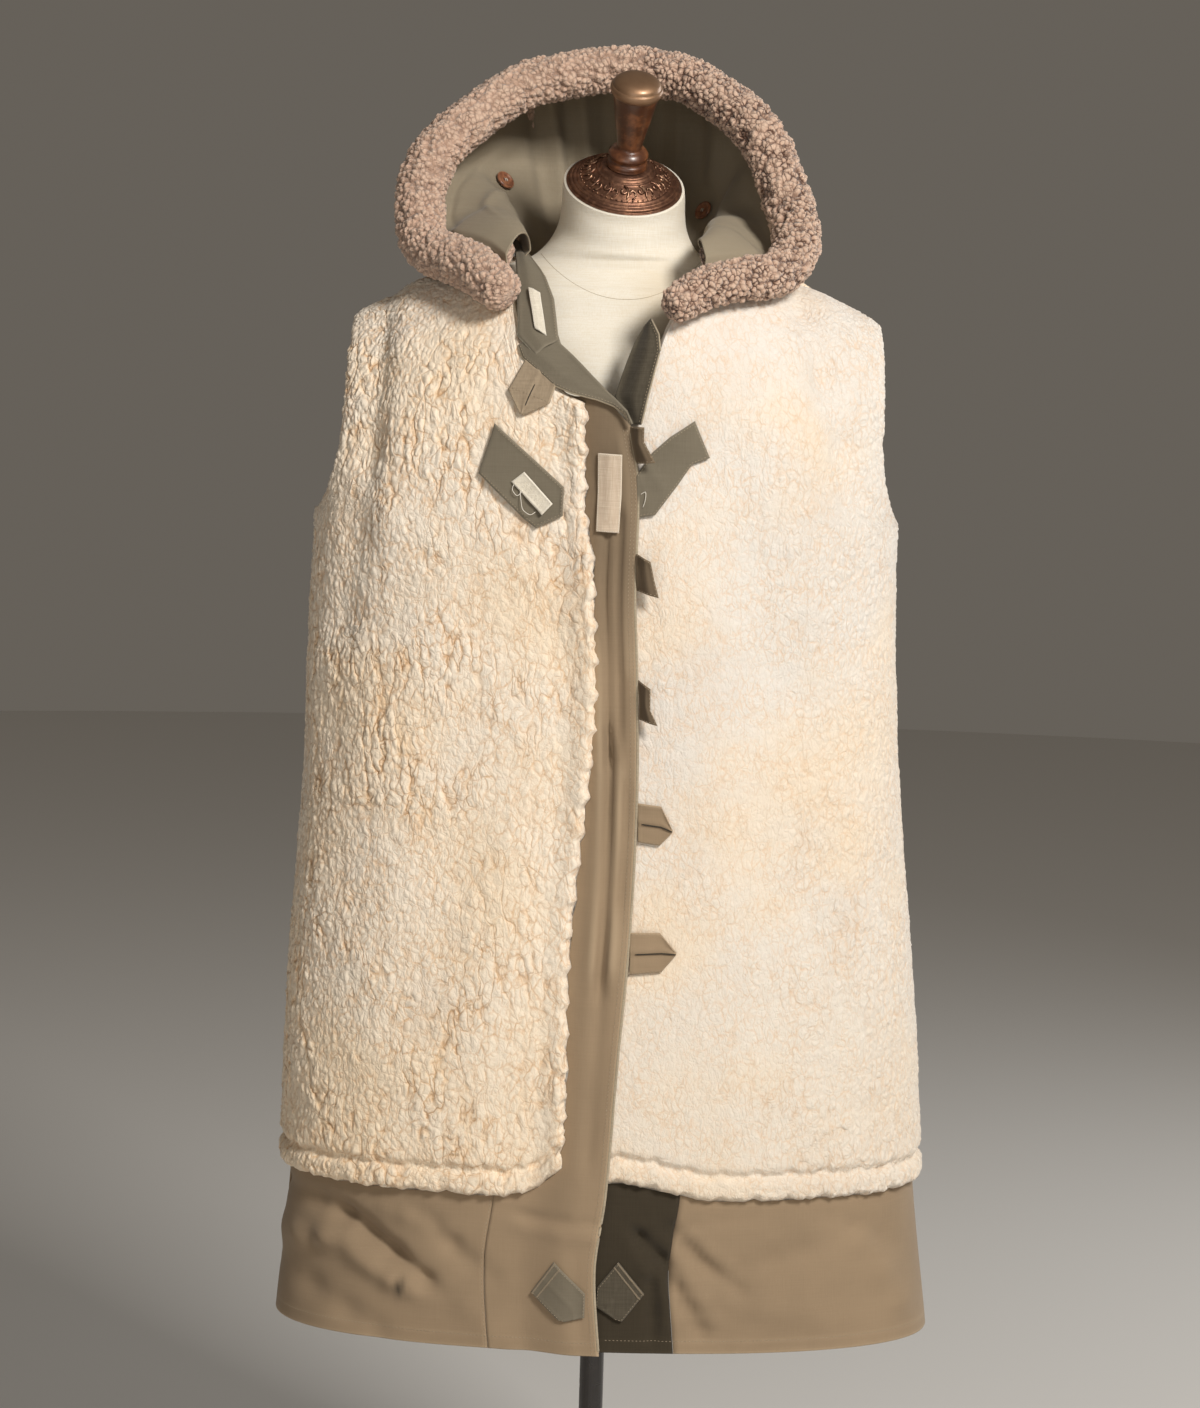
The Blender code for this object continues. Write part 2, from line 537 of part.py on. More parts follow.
def build_front_pieces():
    """Button tabs, chest straps, patches, label and hem tabs."""
    for number, (top, reach, out) in enumerate([(1.296, 0.017, 0.018), (1.186, 0.017, 0.016),
                                                (1.068, 0.015, 0.016)], start=1):
        # hanging off the edge, turned so that it stands out from the wool
        rows = []
        for share in (0.0, 0.5, 1.0):
            z = top - 0.008 * share
            rows.append(Strip(cut_edge_x(z) + SEAM_GAP + reach * share**1.5, z,
                              cut_edge_x(z - 0.034) + SEAM_GAP + reach * share,
                              z - 0.034 - 0.004 * share, ON_FLEECE + out * share, ON_FLEECE + out * share))
        laid(f"front_tab_{number}", on_left_front, rows, SHELL_THICK, "canvas_tan", 2)
    for number, top in ((4, 0.957), (5, 0.834)):
        rows = [Strip(cut_edge_x(top) + SEAM_GAP, top, cut_edge_x(top - 0.038) + SEAM_GAP, top - 0.038,
                      ON_FLEECE, ON_FLEECE),
                Strip(edge_x(top) + 0.026, top - 0.003, edge_x(top) + 0.026, top - 0.040,
                      ON_FLEECE, ON_FLEECE),
                Strip(edge_x(top) + 0.040, top - 0.018, edge_x(top) + 0.039, top - 0.026,
                      ON_FLEECE, ON_FLEECE)]
        laid(f"front_tab_{number}", on_left_front, rows, SHELL_THICK, "canvas_tan", 2)
    over = ON_FLEECE + STRAP_RISE
    strap = [Strip(-0.1110, 1.3050, -0.1280, 1.2600, over, over),
             Strip(-0.0800, 1.2750, -0.1000, 1.2330, over, over),
             Strip(-0.0560, 1.2480, -0.0750, 1.2080, over, over)]
    laid("chest_strap_right", on_right_front, strap, COTTON_THICK, "cotton_grey", 2)
    over = ON_FLEECE + COTTON_THICK + STRAP_RISE + SEAM_GAP
    patch = [Strip(-0.0840, 1.2620, -0.0960, 1.2510, over, over),
             Strip(-0.0600, 1.2330, -0.0690, 1.2230, over, over)]
    laid("chest_patch", on_right_front, patch, PATCH_THICK, "tape_white", 1)
    strap = [Strip(0.0680, 1.3110, 0.0860, 1.2780, ON_FLEECE, ON_FLEECE),
             Strip(0.0500, 1.2900, 0.0660, 1.2620, ON_FLEECE, ON_FLEECE),
             Strip(0.0400, 1.2560, 0.0560, 1.2440, ON_FLEECE, ON_FLEECE),
             Strip(0.0290, 1.2440, 0.0370, 1.2230, ON_FLEECE, ON_FLEECE)]
    laid("chest_strap_left", on_left_front, strap, COTTON_THICK, "cotton_grey", 2)
    on_shell = SHELL_THICK + 0.0005
    label = [Strip(-0.0165, 1.2790, 0.0035, 1.2790, on_shell, on_shell),
             Strip(-0.0165, 1.2430, 0.0040, 1.2430, on_shell, on_shell),
             Strip(-0.0160, 1.2070, 0.0035, 1.2070, on_shell, on_shell)]
    laid("label_patch", on_right_front, label, PATCH_THICK, "tape_white", 2)
    raised = on_shell + PATCH_THICK
    tab = [Strip(-0.0600, 0.4890, -0.0410, 0.5190, raised, raised),
           Strip(-0.0380, 0.4700, -0.0180, 0.4970, raised, raised),
           Strip(-0.0340, 0.4610, -0.0100, 0.4640, raised, raised)]
    laid("hem_tab_right", on_right_front, tab, COTTON_THICK, "cotton_grey", 2)
    tab = [Strip(0.0470, 0.4880, 0.0220, 0.5190, on_shell, on_shell),
           Strip(0.0330, 0.4690, 0.0040, 0.4960, on_shell, on_shell),
           Strip(0.0180, 0.4560, 0.0000, 0.4780, on_shell, on_shell)]
    laid("hem_tab_left", on_left_front, tab, COTTON_THICK, "cotton_grey", 2)


# ---------------------------------------------------------------- hood
def smooth_path(rows, at):
    """Point of a smooth line through rows at a place counted in rows."""
    i = min(max(int(at), 0), len(rows) - 2)
    t = at - i
    p = [np.array(rows[min(max(i + k, 0), len(rows) - 1)], dtype=float) for k in (-1, 0, 1, 2)]
    return 0.5 * (2 * p[1] + (p[2] - p[0]) * t + (2 * p[0] - 5 * p[1] + 4 * p[2] - p[3]) * t**2
                  + (3 * p[1] - p[0] - 3 * p[2] + p[3]) * t**3)


def trim_at(at):
    return Roll(*smooth_path(TRIM, at))


def trim_direction(at):
    ahead, behind = trim_at(min(at + 0.05, len(TRIM) - 1)), trim_at(max(at - 0.05, 0))
    return Vector((ahead.x - behind.x, ahead.y - behind.y, ahead.z - behind.z)).normalized()


def build_trim():
    """Fur roll round the hood's opening, one bent tube with rounded ends."""
    mesh = bmesh.new()
    last = len(TRIM) - 1
    rings = []
    for i in range(TRIM_RINGS):
        at = last * i / (TRIM_RINGS - 1)
        here = trim_at(at)
        along = trim_direction(at)
        across = along.cross(Vector((0, 1, 0.3))).normalized()
        outward = along.cross(across)
        radius = here.radius * (TRIM_END if i in (0, TRIM_RINGS - 1) else 1.0)
        ring = []
        for k in range(TRIM_SIDES):
            turn = 2 * math.pi * k / TRIM_SIDES
            spoke = across * math.cos(turn) + outward * math.sin(turn)
            ring.append(mesh.verts.new(Vector((here.x, here.y, here.z)) + spoke * radius))
        rings.append(ring)
    for ring, following in zip(rings, rings[1:]):
        for k in range(TRIM_SIDES):
            n = (k + 1) % TRIM_SIDES
            mesh.faces.new((ring[k], ring[n], following[n], following[k]))
    mesh.faces.new(rings[0][::-1])
    mesh.faces.new(rings[-1])
    add_object("hood_trim", mesh, "fur_brown")


def hood_curve(at):
    """The hood's section at a station: from behind the fur roll back and down to the neckline."""
    row = Station(*smooth_path(HOOD, at))
    roll = trim_at(row.at_roll)
    swell = Vector((row.side, row.back, row.rise))
    along = trim_direction(row.at_roll)
    clear = (swell - along * swell.dot(along)).normalized()
    start = Vector((roll.x, roll.y, roll.z)) + clear * (roll.radius + HOOD_START)
    neck = Vector((row.neck_x, row.neck_y, row.neck_z))
    pull = Vector((row.neck_side, row.neck_back, row.neck_rise))
    return start, start + swell, neck + pull, neck


def hood_point(at, t):
    a, b, c, d = hood_curve(at)
    s = 1 - t
    return a * s**3 + b * 3 * s * s * t + c * 3 * s * t * t + d * t**3


def hood_surface(at, t, offset):
    """Point of the hood, moved out from the lining's inner face."""
    last = len(HOOD) - 1
    step = 0.01
    along = hood_point(min(at + step, last), t) - hood_point(max(at - step, 0), t)
    down = hood_point(at, min(t + step, 1)) - hood_point(at, max(t - step, 0))
    return hood_point(at, t) + along.cross(down).normalized() * offset


def build_hood():
    """Two lining halves, joined by a seam over the top, and the fur outside them."""
    last = len(HOOD) - 1
    depths = [0.0, 0.12, 0.26, 0.42, 0.58, 0.74, 0.88, 1.0]

    def stops(first, final):
        count = round((final - first) * HOOD_COLUMNS)
        return [first + i / HOOD_COLUMNS for i in range(count + 1)]

    def lining(first, final, offset):
        return [[hood_surface(at, t, offset) for at in stops(first, final)] for t in depths]

    for word, first, final in (("right", 0, last // 2), ("left", last // 2, last)):
        walls = [drawn_in(lining(first, final, offset), first > 0, first == 0)
                 for offset in (0.0, COTTON_THICK)]
        slab(f"hood_lining_{word}", *walls, "cotton_grey")

    def fur(share):
        made = []
        for t in depths[:-1]:
            row = []
            for at in stops(0, last):
                station = Station(*smooth_path(HOOD, at))
                under = COTTON_THICK + HOOD_FUR_GAP
                row.append(hood_surface(at, t / depths[-2] * station.fur_end, under + station.fur * share))
            made.append(row)
        return made

    slab("hood_fur", fur(0.0), fur(1.0), "fur_brown")


def build_buttons():
    """Three buttons on the lining, each a dished disc lying on it."""
    places = [(8 / 3, 0.58, -0.0020), (5.0, 0.74, -0.0016), (23 / 3, 0.74, -0.0008)]
    for number, (at, t, inwards) in enumerate(places, start=1):
        middle = hood_surface(at, t, inwards)
        normal = (hood_surface(at, t, -0.01) - middle).normalized()
        profile = [(0.0, 0.0), (0.0070, 0.0), (0.0096, 0.0010), (0.0100, 0.0022), (0.0092, 0.0034),
                   (0.0078, 0.0036), (0.0064, 0.0028), (0.0, 0.0026)]
        turned(f"hood_button_{number}", profile, "button_brown", middle, normal, 20)


# ---------------------------------------------------------------- dress form and stand
def turned(name, profile, finish, foot=Vector((0, 0, 0)), axis=Vector((0, 0, 1)), sides=ROUND_SIDES):
    """Solid of revolution: profile rows are (radius, height) along the axis from its foot."""
    mesh = bmesh.new()
    place = Matrix.Translation(foot) @ axis.to_track_quat("Z", "Y").to_matrix().to_4x4()
    rings = []
    for radius, height in profile:
        if radius == 0:
            rings.append([mesh.verts.new(place @ Vector((0, 0, height)))])
            continue
        rings.append([mesh.verts.new(place @ Vector((radius * math.cos(2 * math.pi * k / sides),
                                                     radius * math.sin(2 * math.pi * k / sides), height)))
                      for k in range(sides)])
    for ring, following in zip(rings, rings[1:]):
        for k in range(sides):
            n = (k + 1) % sides
            if len(ring) == 1:
                mesh.faces.new((ring[0], following[k], following[n]))
            elif len(following) == 1:
                mesh.faces.new((ring[k], following[0], ring[n]))
            else:
                mesh.faces.new((ring[k], following[k], following[n], ring[n]))
    made = add_object(name, mesh, finish)
    made.data.shade_smooth()
    return made


def form_ring(row):
    """Points of one ring of the form's cover, tilted forwards and leant to the left as the neck is."""
    height = row.z or shoulder_z(row.half_width) - SHOULDER_CLEAR
    turn = Matrix.Rotation(math.radians(row.lean), 3, "Y") @ Matrix.Rotation(math.radians(row.tilt), 3, "X")
    points = []
    for k in range(FORM_SIDES):
        angle = 2 * math.pi * k / FORM_SIDES
        depth = row.front if math.sin(angle) < 0 else row.back
        bulge = math.copysign(abs(math.sin(angle)) ** (2 * row.power), math.sin(angle))
        local = Vector((row.half_width * math.cos(angle), depth * bulge, 0))
        points.append(Vector((0, row.centre_y, height)) + turn @ local)
    return points


def build_form():
    mesh = bmesh.new()
    rings = [[mesh.verts.new(p) for p in form_ring(row)] for row in FORM]
    for ring, following in zip(rings, rings[1:]):
        for k in range(FORM_SIDES):
            n = (k + 1) % FORM_SIDES
            mesh.faces.new((ring[k], ring[n], following[n], following[k]))
    mesh.faces.new(rings[0][::-1])
    mesh.faces.new(rings[-1])
    add_object("form_body", mesh, "linen_offwhite").data.shade_smooth()


def cap_axis():
    turn = Matrix.Rotation(CAP_LEAN, 3, "Y") @ Matrix.Rotation(CAP_TILT, 3, "X")
    return turn @ Vector((0, 0, 1))


def build_stand():
    """Neck cap and finial above the form, pole and base below it."""
    axis = cap_axis()
    neck_top = Vector((0, FORM[-1].centre_y, FORM[-1].z))
    foot = neck_top + axis * SEAM_GAP
    cap = [(0.0, 0.0), (CAP_RADIUS - 0.001, 0.0), (CAP_RADIUS, 0.0012), (CAP_RADIUS - 0.0008, 0.0040),
           (0.0480, 0.0052), (0.0455, 0.0072), (0.0430, 0.0074), (0.0340, 0.0130), (0.0275, 0.0160),
           (0.0255, 0.0185), (0.0215, CAP_RISE), (0.0, CAP_RISE)]
    turned("neck_cap", cap, "bronze", foot, axis)
    finial = [(0.0, 0.0), (0.0180, 0.0), (0.0192, 0.0030), (0.0188, 0.0060), (0.0172, 0.0075),
              (0.0172, 0.0095), (0.0186, 0.0120), (0.0186, 0.0150), (0.0150, 0.0195), (0.0118, 0.0215),
              (0.0120, 0.0240), (0.0150, 0.0420), (0.0188, 0.0640), (0.0222, 0.0810), (0.0240, 0.0830),
              (0.0250, 0.0865), (0.0240, 0.0900), (0.0228, 0.0915), (0.0190, 0.0955), (0.0110, 0.0985),
              (0.0, 0.0995)]
    turned("finial", finial, "wood_walnut", foot + axis * (CAP_RISE + SEAM_GAP), axis)
    collar_foot = FORM[0].z - COLLAR_HEIGHT
    collar = [(0.0, 0.0), (0.0150, 0.0), (0.0200, 0.0040), (0.0200, 0.0120), (0.0300, 0.0200),
              (0.0480, 0.0240), (0.0480, COLLAR_HEIGHT - SEAM_GAP), (0.0, COLLAR_HEIGHT - SEAM_GAP)]
    turned("pole_collar", collar, "bronze", Vector((0, 0, collar_foot)))
    pole_foot = BASE_THICK + SOCKET + SEAM_GAP
    length = collar_foot - SEAM_GAP - pole_foot
    pole = [(0.0, 0.0), (POLE_RADIUS, 0.0), (POLE_RADIUS, length), (0.0, length)]
    turned("pole", pole, "pole_brown", Vector((0, 0, pole_foot)))
    base = [(0.0, 0.0), (BASE_RADIUS - 0.002, 0.0), (BASE_RADIUS, 0.0020), (BASE_RADIUS, 0.0080),
            (BASE_RADIUS - 0.004, BASE_THICK - 0.002), (BASE_RADIUS - 0.020, BASE_THICK),
            (0.040, BASE_THICK + 0.004), (0.0220, BASE_THICK + 0.012), (0.0180, BASE_THICK + SOCKET - 0.006),
            (0.0165, BASE_THICK + SOCKET), (0.0, BASE_THICK + SOCKET)]
    turned("base", base, "pole_brown", sides=BASE_SIDES)


def main():
    clear_scene()
    build_front(-1)
    build_front(1)
    build_back()
    build_neck_pieces()
    build_front_pieces()
    build_trim()
    build_hood()
    build_buttons()
    build_form()
    build_stand()


main()
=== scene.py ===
"""Sleeveless hooded shearling coat, worn fleece out, on a dress form with its stand: the visible pieces.

Metres, +Z up. X runs across the wearer, -Y is the wearer's front. "right" and "left" are the wearer's.
"""
import math
from collections import namedtuple

import bmesh
import bpy
import numpy as np
from bpy.props import FloatProperty, FloatVectorProperty, IntProperty, PointerProperty
from bpy.types import Operator, Panel, PropertyGroup
from mathutils import Matrix, Vector
from mathutils.bvhtree import BVHTree


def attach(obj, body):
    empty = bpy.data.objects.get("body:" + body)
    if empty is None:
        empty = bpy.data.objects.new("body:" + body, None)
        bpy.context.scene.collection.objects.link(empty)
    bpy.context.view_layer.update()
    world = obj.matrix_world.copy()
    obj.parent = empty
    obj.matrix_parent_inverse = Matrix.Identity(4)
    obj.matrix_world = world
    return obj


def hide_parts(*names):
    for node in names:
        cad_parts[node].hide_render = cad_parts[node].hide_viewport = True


bl_info = {
    "name": "Shearling coat on a dress form",
    "version": (1, 0, 0),
    "blender": (4, 5, 0),
    "location": "3D View > Sidebar > Coat",
    "description": "Builds the wool, canvas, hood, dress form and stage piece by piece",
    "category": "Add Mesh",
}

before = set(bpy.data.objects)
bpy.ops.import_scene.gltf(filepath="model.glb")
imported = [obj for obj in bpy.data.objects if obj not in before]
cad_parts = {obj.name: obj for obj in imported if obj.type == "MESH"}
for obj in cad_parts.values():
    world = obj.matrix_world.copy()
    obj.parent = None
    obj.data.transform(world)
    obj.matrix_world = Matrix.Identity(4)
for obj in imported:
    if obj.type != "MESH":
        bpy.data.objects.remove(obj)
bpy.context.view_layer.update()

# ---------------------------------------------------------------- sizes of the frame, repeated in metres
SEAM_GAP = 0.0004
SHELL_THICK = 0.0020
FLEECE_THICK = 0.0110
COTTON_THICK = 0.0015
PATCH_THICK = 0.0010
HEM_Z = 0.430
FLEECE_HEM_Z = 0.578
SPLIT_Z = 1.200
UNDERARM = 0.070
ARMHOLE_RISE = 0.45
SHOULDER_FALL = 0.160
SIDE_POWER = 0.90
DEPTH_POWER = 0.80
TIP_ANGLE = math.radians(68)
LIFT = 0.0146
LIFT_FROM = -0.075
LIFT_TO = -0.020
TOP_COLUMN_Z = 1.40
RIGHT_SEAM = 0.105
LEFT_SEAM = 0.070
BACK_NECK_Z = 1.450
BACK_NECK_POWER = 4
NECK_HALF = 0.112
FLEECE_IN = SHELL_THICK + 0.0003
FLEECE_OUT = FLEECE_IN + FLEECE_THICK
ON_FLEECE = FLEECE_OUT + 0.0005
ON_SHELL = SHELL_THICK + 0.0006
FORM_SIDES = 96
SHOULDER_CLEAR = 0.0008
CAP_TILT = math.radians(33)
CAP_LEAN = math.radians(6)
CAP_RADIUS = 0.0525
CAP_RISE = 0.0210


class Table:
    """Rows of named columns, read smoothly at any values of the first column."""

    def __init__(self, columns, rows):
        self.row = namedtuple("Row", columns)
        table = np.array(sorted(map(tuple, rows)), dtype=float)
        self.keys, self.values = table[:, 0], table[:, 1:]
        chord = np.diff(self.values, axis=0) / np.diff(self.keys)[:, None]
        before, after = chord[:-1], chord[1:]
        mean = (before + after) / 2
        limit = 2 * np.minimum(abs(before), abs(after))
        middle = np.where(before * after > 0, np.sign(mean) * np.minimum(abs(mean), limit), 0)
        self.slopes = np.vstack([chord[:1], middle, chord[-1:]])

    def at(self, key):
        key = np.clip(np.asarray(key, dtype=float), self.keys[0], self.keys[-1])
        i = np.clip(np.searchsorted(self.keys, key, side="right") - 1, 0, len(self.keys) - 2)
        step = self.keys[i + 1] - self.keys[i]
        t = ((key - self.keys[i]) / step)[..., None]
        m, n = self.slopes[i] * step[..., None], self.slopes[i + 1] * step[..., None]
        value = ((2 * t**3 - 3 * t**2 + 1) * self.values[i] + (t**3 - 2 * t**2 + t) * m
                 + (3 * t**2 - 2 * t**3) * self.values[i + 1] + (t**3 - t**2) * n)
        return self.row(key, *np.moveaxis(value, -1, 0))


# Level sections of the coat, at the canvas's inner face.
BODY = Table("z half_width centre_x front_depth back_depth", [
    (0.430, 0.318, 0.007, 0.150, 0.146),
    (0.575, 0.303, 0.004, 0.147, 0.143),
    (0.750, 0.293, -0.001, 0.143, 0.136),
    (0.950, 0.277, -0.006, 0.138, 0.130),
    (1.110, 0.270, -0.009, 0.138, 0.134),
    (1.200, 0.267, -0.008, 0.140, 0.142),
    (1.300, 0.266, -0.004, 0.138, 0.147),
    (1.500, 0.266, 0.000, 0.138, 0.147),
])
# Shoulder line: height of the canvas's inner face over the distance from the middle.
SHOULDER = Table("x z", [
    (0.000, 1.500), (0.060, 1.477), (0.105, 1.4555), (0.150, 1.437), (0.200, 1.415),
    (0.230, 1.400), (0.255, 1.382), (0.275, 1.360), (0.320, 1.280),
])
# The right front's canvas edge, and where its wool ends.
EDGE = Table("z canvas_x wool_inset", [
    (0.430, 0.006, 0.042), (0.510, 0.000, 0.042), (0.580, 0.008, 0.042), (0.710, 0.016, 0.048),
    (0.830, 0.024, 0.055), (0.960, 0.027, 0.046), (1.070, 0.024, 0.037), (1.160, 0.020, 0.038),
    (1.240, 0.021, 0.049), (1.305, 0.011, 0.040),
])
# Upper edges of the front panels, from the closure to the shoulder line.
RIGHT_NECK = Table("x z", [
    (-0.112, 1.4525), (-0.103, 1.436), (-0.097, 1.408), (-0.089, 1.376), (-0.066, 1.347),
    (-0.049, 1.333), (-0.024, 1.322), (0.013, 1.303),
])
LEFT_NECK = Table("x z", [
    (-0.045, 1.298), (0.010, 1.303), (0.024, 1.330), (0.034, 1.374), (0.046, 1.404), (0.078, 1.436),
    (0.112, 1.4525),
])
# Centre line and radius of the fur roll, from the right throat over the top to the left throat.
TRIM = np.array([
    (-0.105, -0.131, 1.420, 0.0200), (-0.139, -0.096, 1.446, 0.0230), (-0.183, -0.052, 1.465, 0.0235),
    (-0.193, -0.030, 1.503, 0.0240), (-0.187, -0.015, 1.538, 0.0240), (-0.167, 0.003, 1.570, 0.0235),
    (-0.103, 0.036, 1.620, 0.0225), (-0.058, 0.050, 1.634, 0.0225), (-0.014, 0.058, 1.642, 0.0225),
    (0.033, 0.055, 1.639, 0.0230), (0.071, 0.044, 1.627, 0.0230), (0.127, 0.012, 1.583, 0.0240),
    (0.155, -0.016, 1.519, 0.0240), (0.164, -0.048, 1.478, 0.0235), (0.148, -0.082, 1.450, 0.0215),
    (0.113, -0.110, 1.442, 0.0205), (0.075, -0.134, 1.432, 0.0195), (0.043, -0.153, 1.410, 0.0170),
])
# Stations round the hood, right to left: place on the roll, place on the neckline, swell between them.
Station = namedtuple("Station", "at_roll neck_x neck_y neck_z back side rise neck_back neck_side neck_rise "
                                "fur fur_end")
HOOD = np.array([
    (0.6, -0.090, -0.068, 1.4580, 0.018, 0.012, 0.036, 0.000, 0.000, 0.022, 0.003, 0.62),
    (2.0, -0.098, -0.035, 1.4620, 0.046, 0.022, 0.036, 0.010, 0.006, 0.050, 0.005, 0.76),
    (4.0, -0.099, 0.018, 1.4620, 0.085, 0.025, 0.010, 0.020, 0.000, 0.065, 0.008, 0.84),
    (6.0, -0.076, 0.066, 1.4590, 0.120, 0.000, 0.004, 0.060, -0.020, 0.055, 0.010, 0.90),
    (8.2, 0.000, 0.100, 1.4550, 0.130, 0.000, 0.000, 0.085, 0.000, 0.035, 0.010, 0.93),
    (10.2, 0.074, 0.066, 1.4590, 0.120, 0.000, 0.004, 0.060, 0.010, 0.055, 0.010, 0.90),
    (12.2, 0.090, 0.018, 1.4620, 0.080, -0.030, 0.012, 0.020, -0.010, 0.060, 0.006, 0.84),
    (14.2, 0.082, -0.036, 1.4600, 0.040, -0.026, 0.036, 0.006, -0.008, 0.046, 0.003, 0.74),
    (15.7, 0.079, -0.066, 1.4510, 0.018, -0.012, 0.036, 0.000, 0.000, 0.022, 0.003, 0.62),
])
HOOD_FUR_GAP = 0.0022
HOOD_START = 0.0008
# Rings of the dress form's linen cover; where z is 0 the ring lies just under the shoulder line.
FORM = np.array([
    (0.800, 0.150, 0.092, 0.098, 0.50, 0.000, 0, 0), (0.806, 0.156, 0.098, 0.104, 0.50, 0.000, 0, 0),
    (0.860, 0.165, 0.104, 0.112, 0.50, 0.000, 0, 0), (0.920, 0.158, 0.100, 0.104, 0.50, 0.000, 0, 0),
    (1.000, 0.134, 0.092, 0.088, 0.50, 0.000, 0, 0), (1.080, 0.136, 0.098, 0.092, 0.50, 0.000, 0, 0),
    (1.180, 0.158, 0.112, 0.104, 0.50, 0.000, 0, 0), (1.260, 0.172, 0.116, 0.110, 0.50, 0.000, 0, 0),
    (1.330, 0.186, 0.108, 0.108, 0.52, 0.000, 0, 0), (1.380, 0.190, 0.094, 0.100, 0.56, 0.000, 0, 0),
    (1.4040, 0.186, 0.084, 0.090, 0.64, 0.000, 0, 0), (0, 0.174, 0.078, 0.084, 0.72, 0.000, 0, 0),
    (0, 0.158, 0.072, 0.079, 0.78, 0.000, 0, 0), (0, 0.138, 0.066, 0.074, 0.80, 0.000, 0, 0),
    (0, 0.118, 0.061, 0.070, 0.78, 0.000, 0, 0), (1.4580, 0.090, 0.061, 0.066, 0.62, 0.000, 2, 0),
    (1.4690, 0.073, 0.062, 0.063, 0.52, -0.002, 7, 2),
    (1.4860, 0.0625, 0.060, 0.060, 0.50, -0.006, 17, 3),
    (1.5040, 0.0592, 0.059, 0.059, 0.50, -0.011, 25, 5),
    (1.5240, 0.0584, 0.0584, 0.0584, 0.50, -0.017, 33, 6),
    (1.5290, 0.0575, 0.0575, 0.0575, 0.50, -0.020, 33, 6),
])


# ---------------------------------------------------------------- what a user would change
def length(name, description, default):
    return FloatProperty(name=name, description=description, default=default, min=0.0, subtype="DISTANCE",
                         unit="LENGTH", precision=4)


def colour(name, description, default):
    return FloatVectorProperty(name=name, description=description, default=default, min=0.0, max=1.0,
                               size=3, subtype="COLOR")


class WoolSettings(PropertyGroup):
    """Cream shearling."""
    clump: length("Clump size", "Width of the clumps that the wool parts into", 0.0088)
    depth: length("Clump height", "Height of a clump over the cracks round it", 0.0036)
    pitch: length("Mesh pitch", "Distance between the mesh's points", 0.0022)
    cream_right: colour("Right cream", "Colour of the right front's tips", (0.84, 0.745, 0.62))
    cream_left: colour("Left cream", "Colour of the left front's tips", (0.735, 0.685, 0.62))
    cream_back: colour("Back cream", "Colour of the back's tips", (0.88, 0.76, 0.61))
    # peach: painted shade and warm glow at the bottom of the cracks
    peach: colour("Peach", "Colour at the bottom of the cracks", (0.42, 0.20, 0.065))
    grey: colour("Grey", "Colour of the soiled patches", (0.60, 0.50, 0.41))


class FurSettings(PropertyGroup):
    """Brown curled fur of the hood."""
    curl: length("Curl size", "Width of a curl", 0.0052)
    depth: length("Curl height", "Height of a curl over its neighbours", 0.0075)
    tips: colour("Tips", "Colour of the fur's tips", (0.60, 0.405, 0.300))
    # roots: painted shade deep between the curls
    roots: colour("Roots", "Colour deep between the curls", (0.115, 0.056, 0.034))


class ClothSettings(PropertyGroup):
    """Canvas and cotton."""
    canvas: colour("Canvas", "Colour of the tan canvas", (0.285, 0.203, 0.126))
    # olive: the unfaded canvas's colour, darkened further as painted shade for where it lies beside the strip
    olive: colour("Olive canvas", "Colour of the unfaded canvas", (0.036, 0.027, 0.016))
    cotton: colour("Cotton", "Colour of the straps, the lapel and the collar", (0.160, 0.136, 0.097))
    lining: colour("Lining", "Colour of the hood's lining", (0.290, 0.240, 0.168))
    stitch: length("Stitch pitch", "Distance from stitch to stitch", 0.0036)


class StandSettings(PropertyGroup):
    """Dress form and its stand."""
    linen: colour("Linen", "Colour of the form's cover", (0.81, 0.765, 0.67))
    bronze: colour("Bronze", "Colour of the neck cap", (0.165, 0.082, 0.052))
    wood: colour("Wood", "Colour of the finial", (0.075, 0.024, 0.009))
    scrolls: IntProperty(name="Scrolls", description="Scrolls round the neck cap", default=13, min=3, max=24)


class StageSettings(PropertyGroup):
    """Floor, light and camera."""
    key: FloatProperty(name="Key light", description="Power of the large light", default=156.0, min=0.0,
                       subtype="POWER", unit="POWER")
    fill: FloatProperty(name="Fill light", description="Power of the soft light in front", default=18.0,
                        min=0.0, subtype="POWER", unit="POWER")
    room: FloatProperty(name="Room light", description="Strength of the even light all round", default=0.18,
                        min=0.0, subtype="FACTOR")


# ---------------------------------------------------------------- node trees
class Socket:
    """A node's output that takes Python arithmetic: each operation adds its Math node."""

    def __init__(self, tree, socket):
        self.tree = tree
        self.socket = socket

    def maths(self, operation, *values, clamp=False):
        return Nodes(self.tree).add("ShaderNodeMath", 0, dict(enumerate(values)), operation=operation,
                                    use_clamp=clamp)

    def __add__(self, other):
        return self.maths("ADD", self, other)

    def __sub__(self, other):
        return self.maths("SUBTRACT", self, other)

    def __rsub__(self, other):
        return self.maths("SUBTRACT", other, self)

    def __mul__(self, other):
        return self.maths("MULTIPLY", self, other)

    def __truediv__(self, other):
        return self.maths("DIVIDE", self, other)

    def __rtruediv__(self, other):
        return self.maths("DIVIDE", other, self)

    def __pow__(self, other):
        return self.maths("POWER", self, other)

    def least(self, other):
        return self.maths("MINIMUM", self, other)

    def size(self):
        return self.maths("ABSOLUTE", self)

    def clamped(self):
        return self.maths("ADD", self, 0.0, clamp=True)

    __radd__ = __add__
    __rmul__ = __mul__


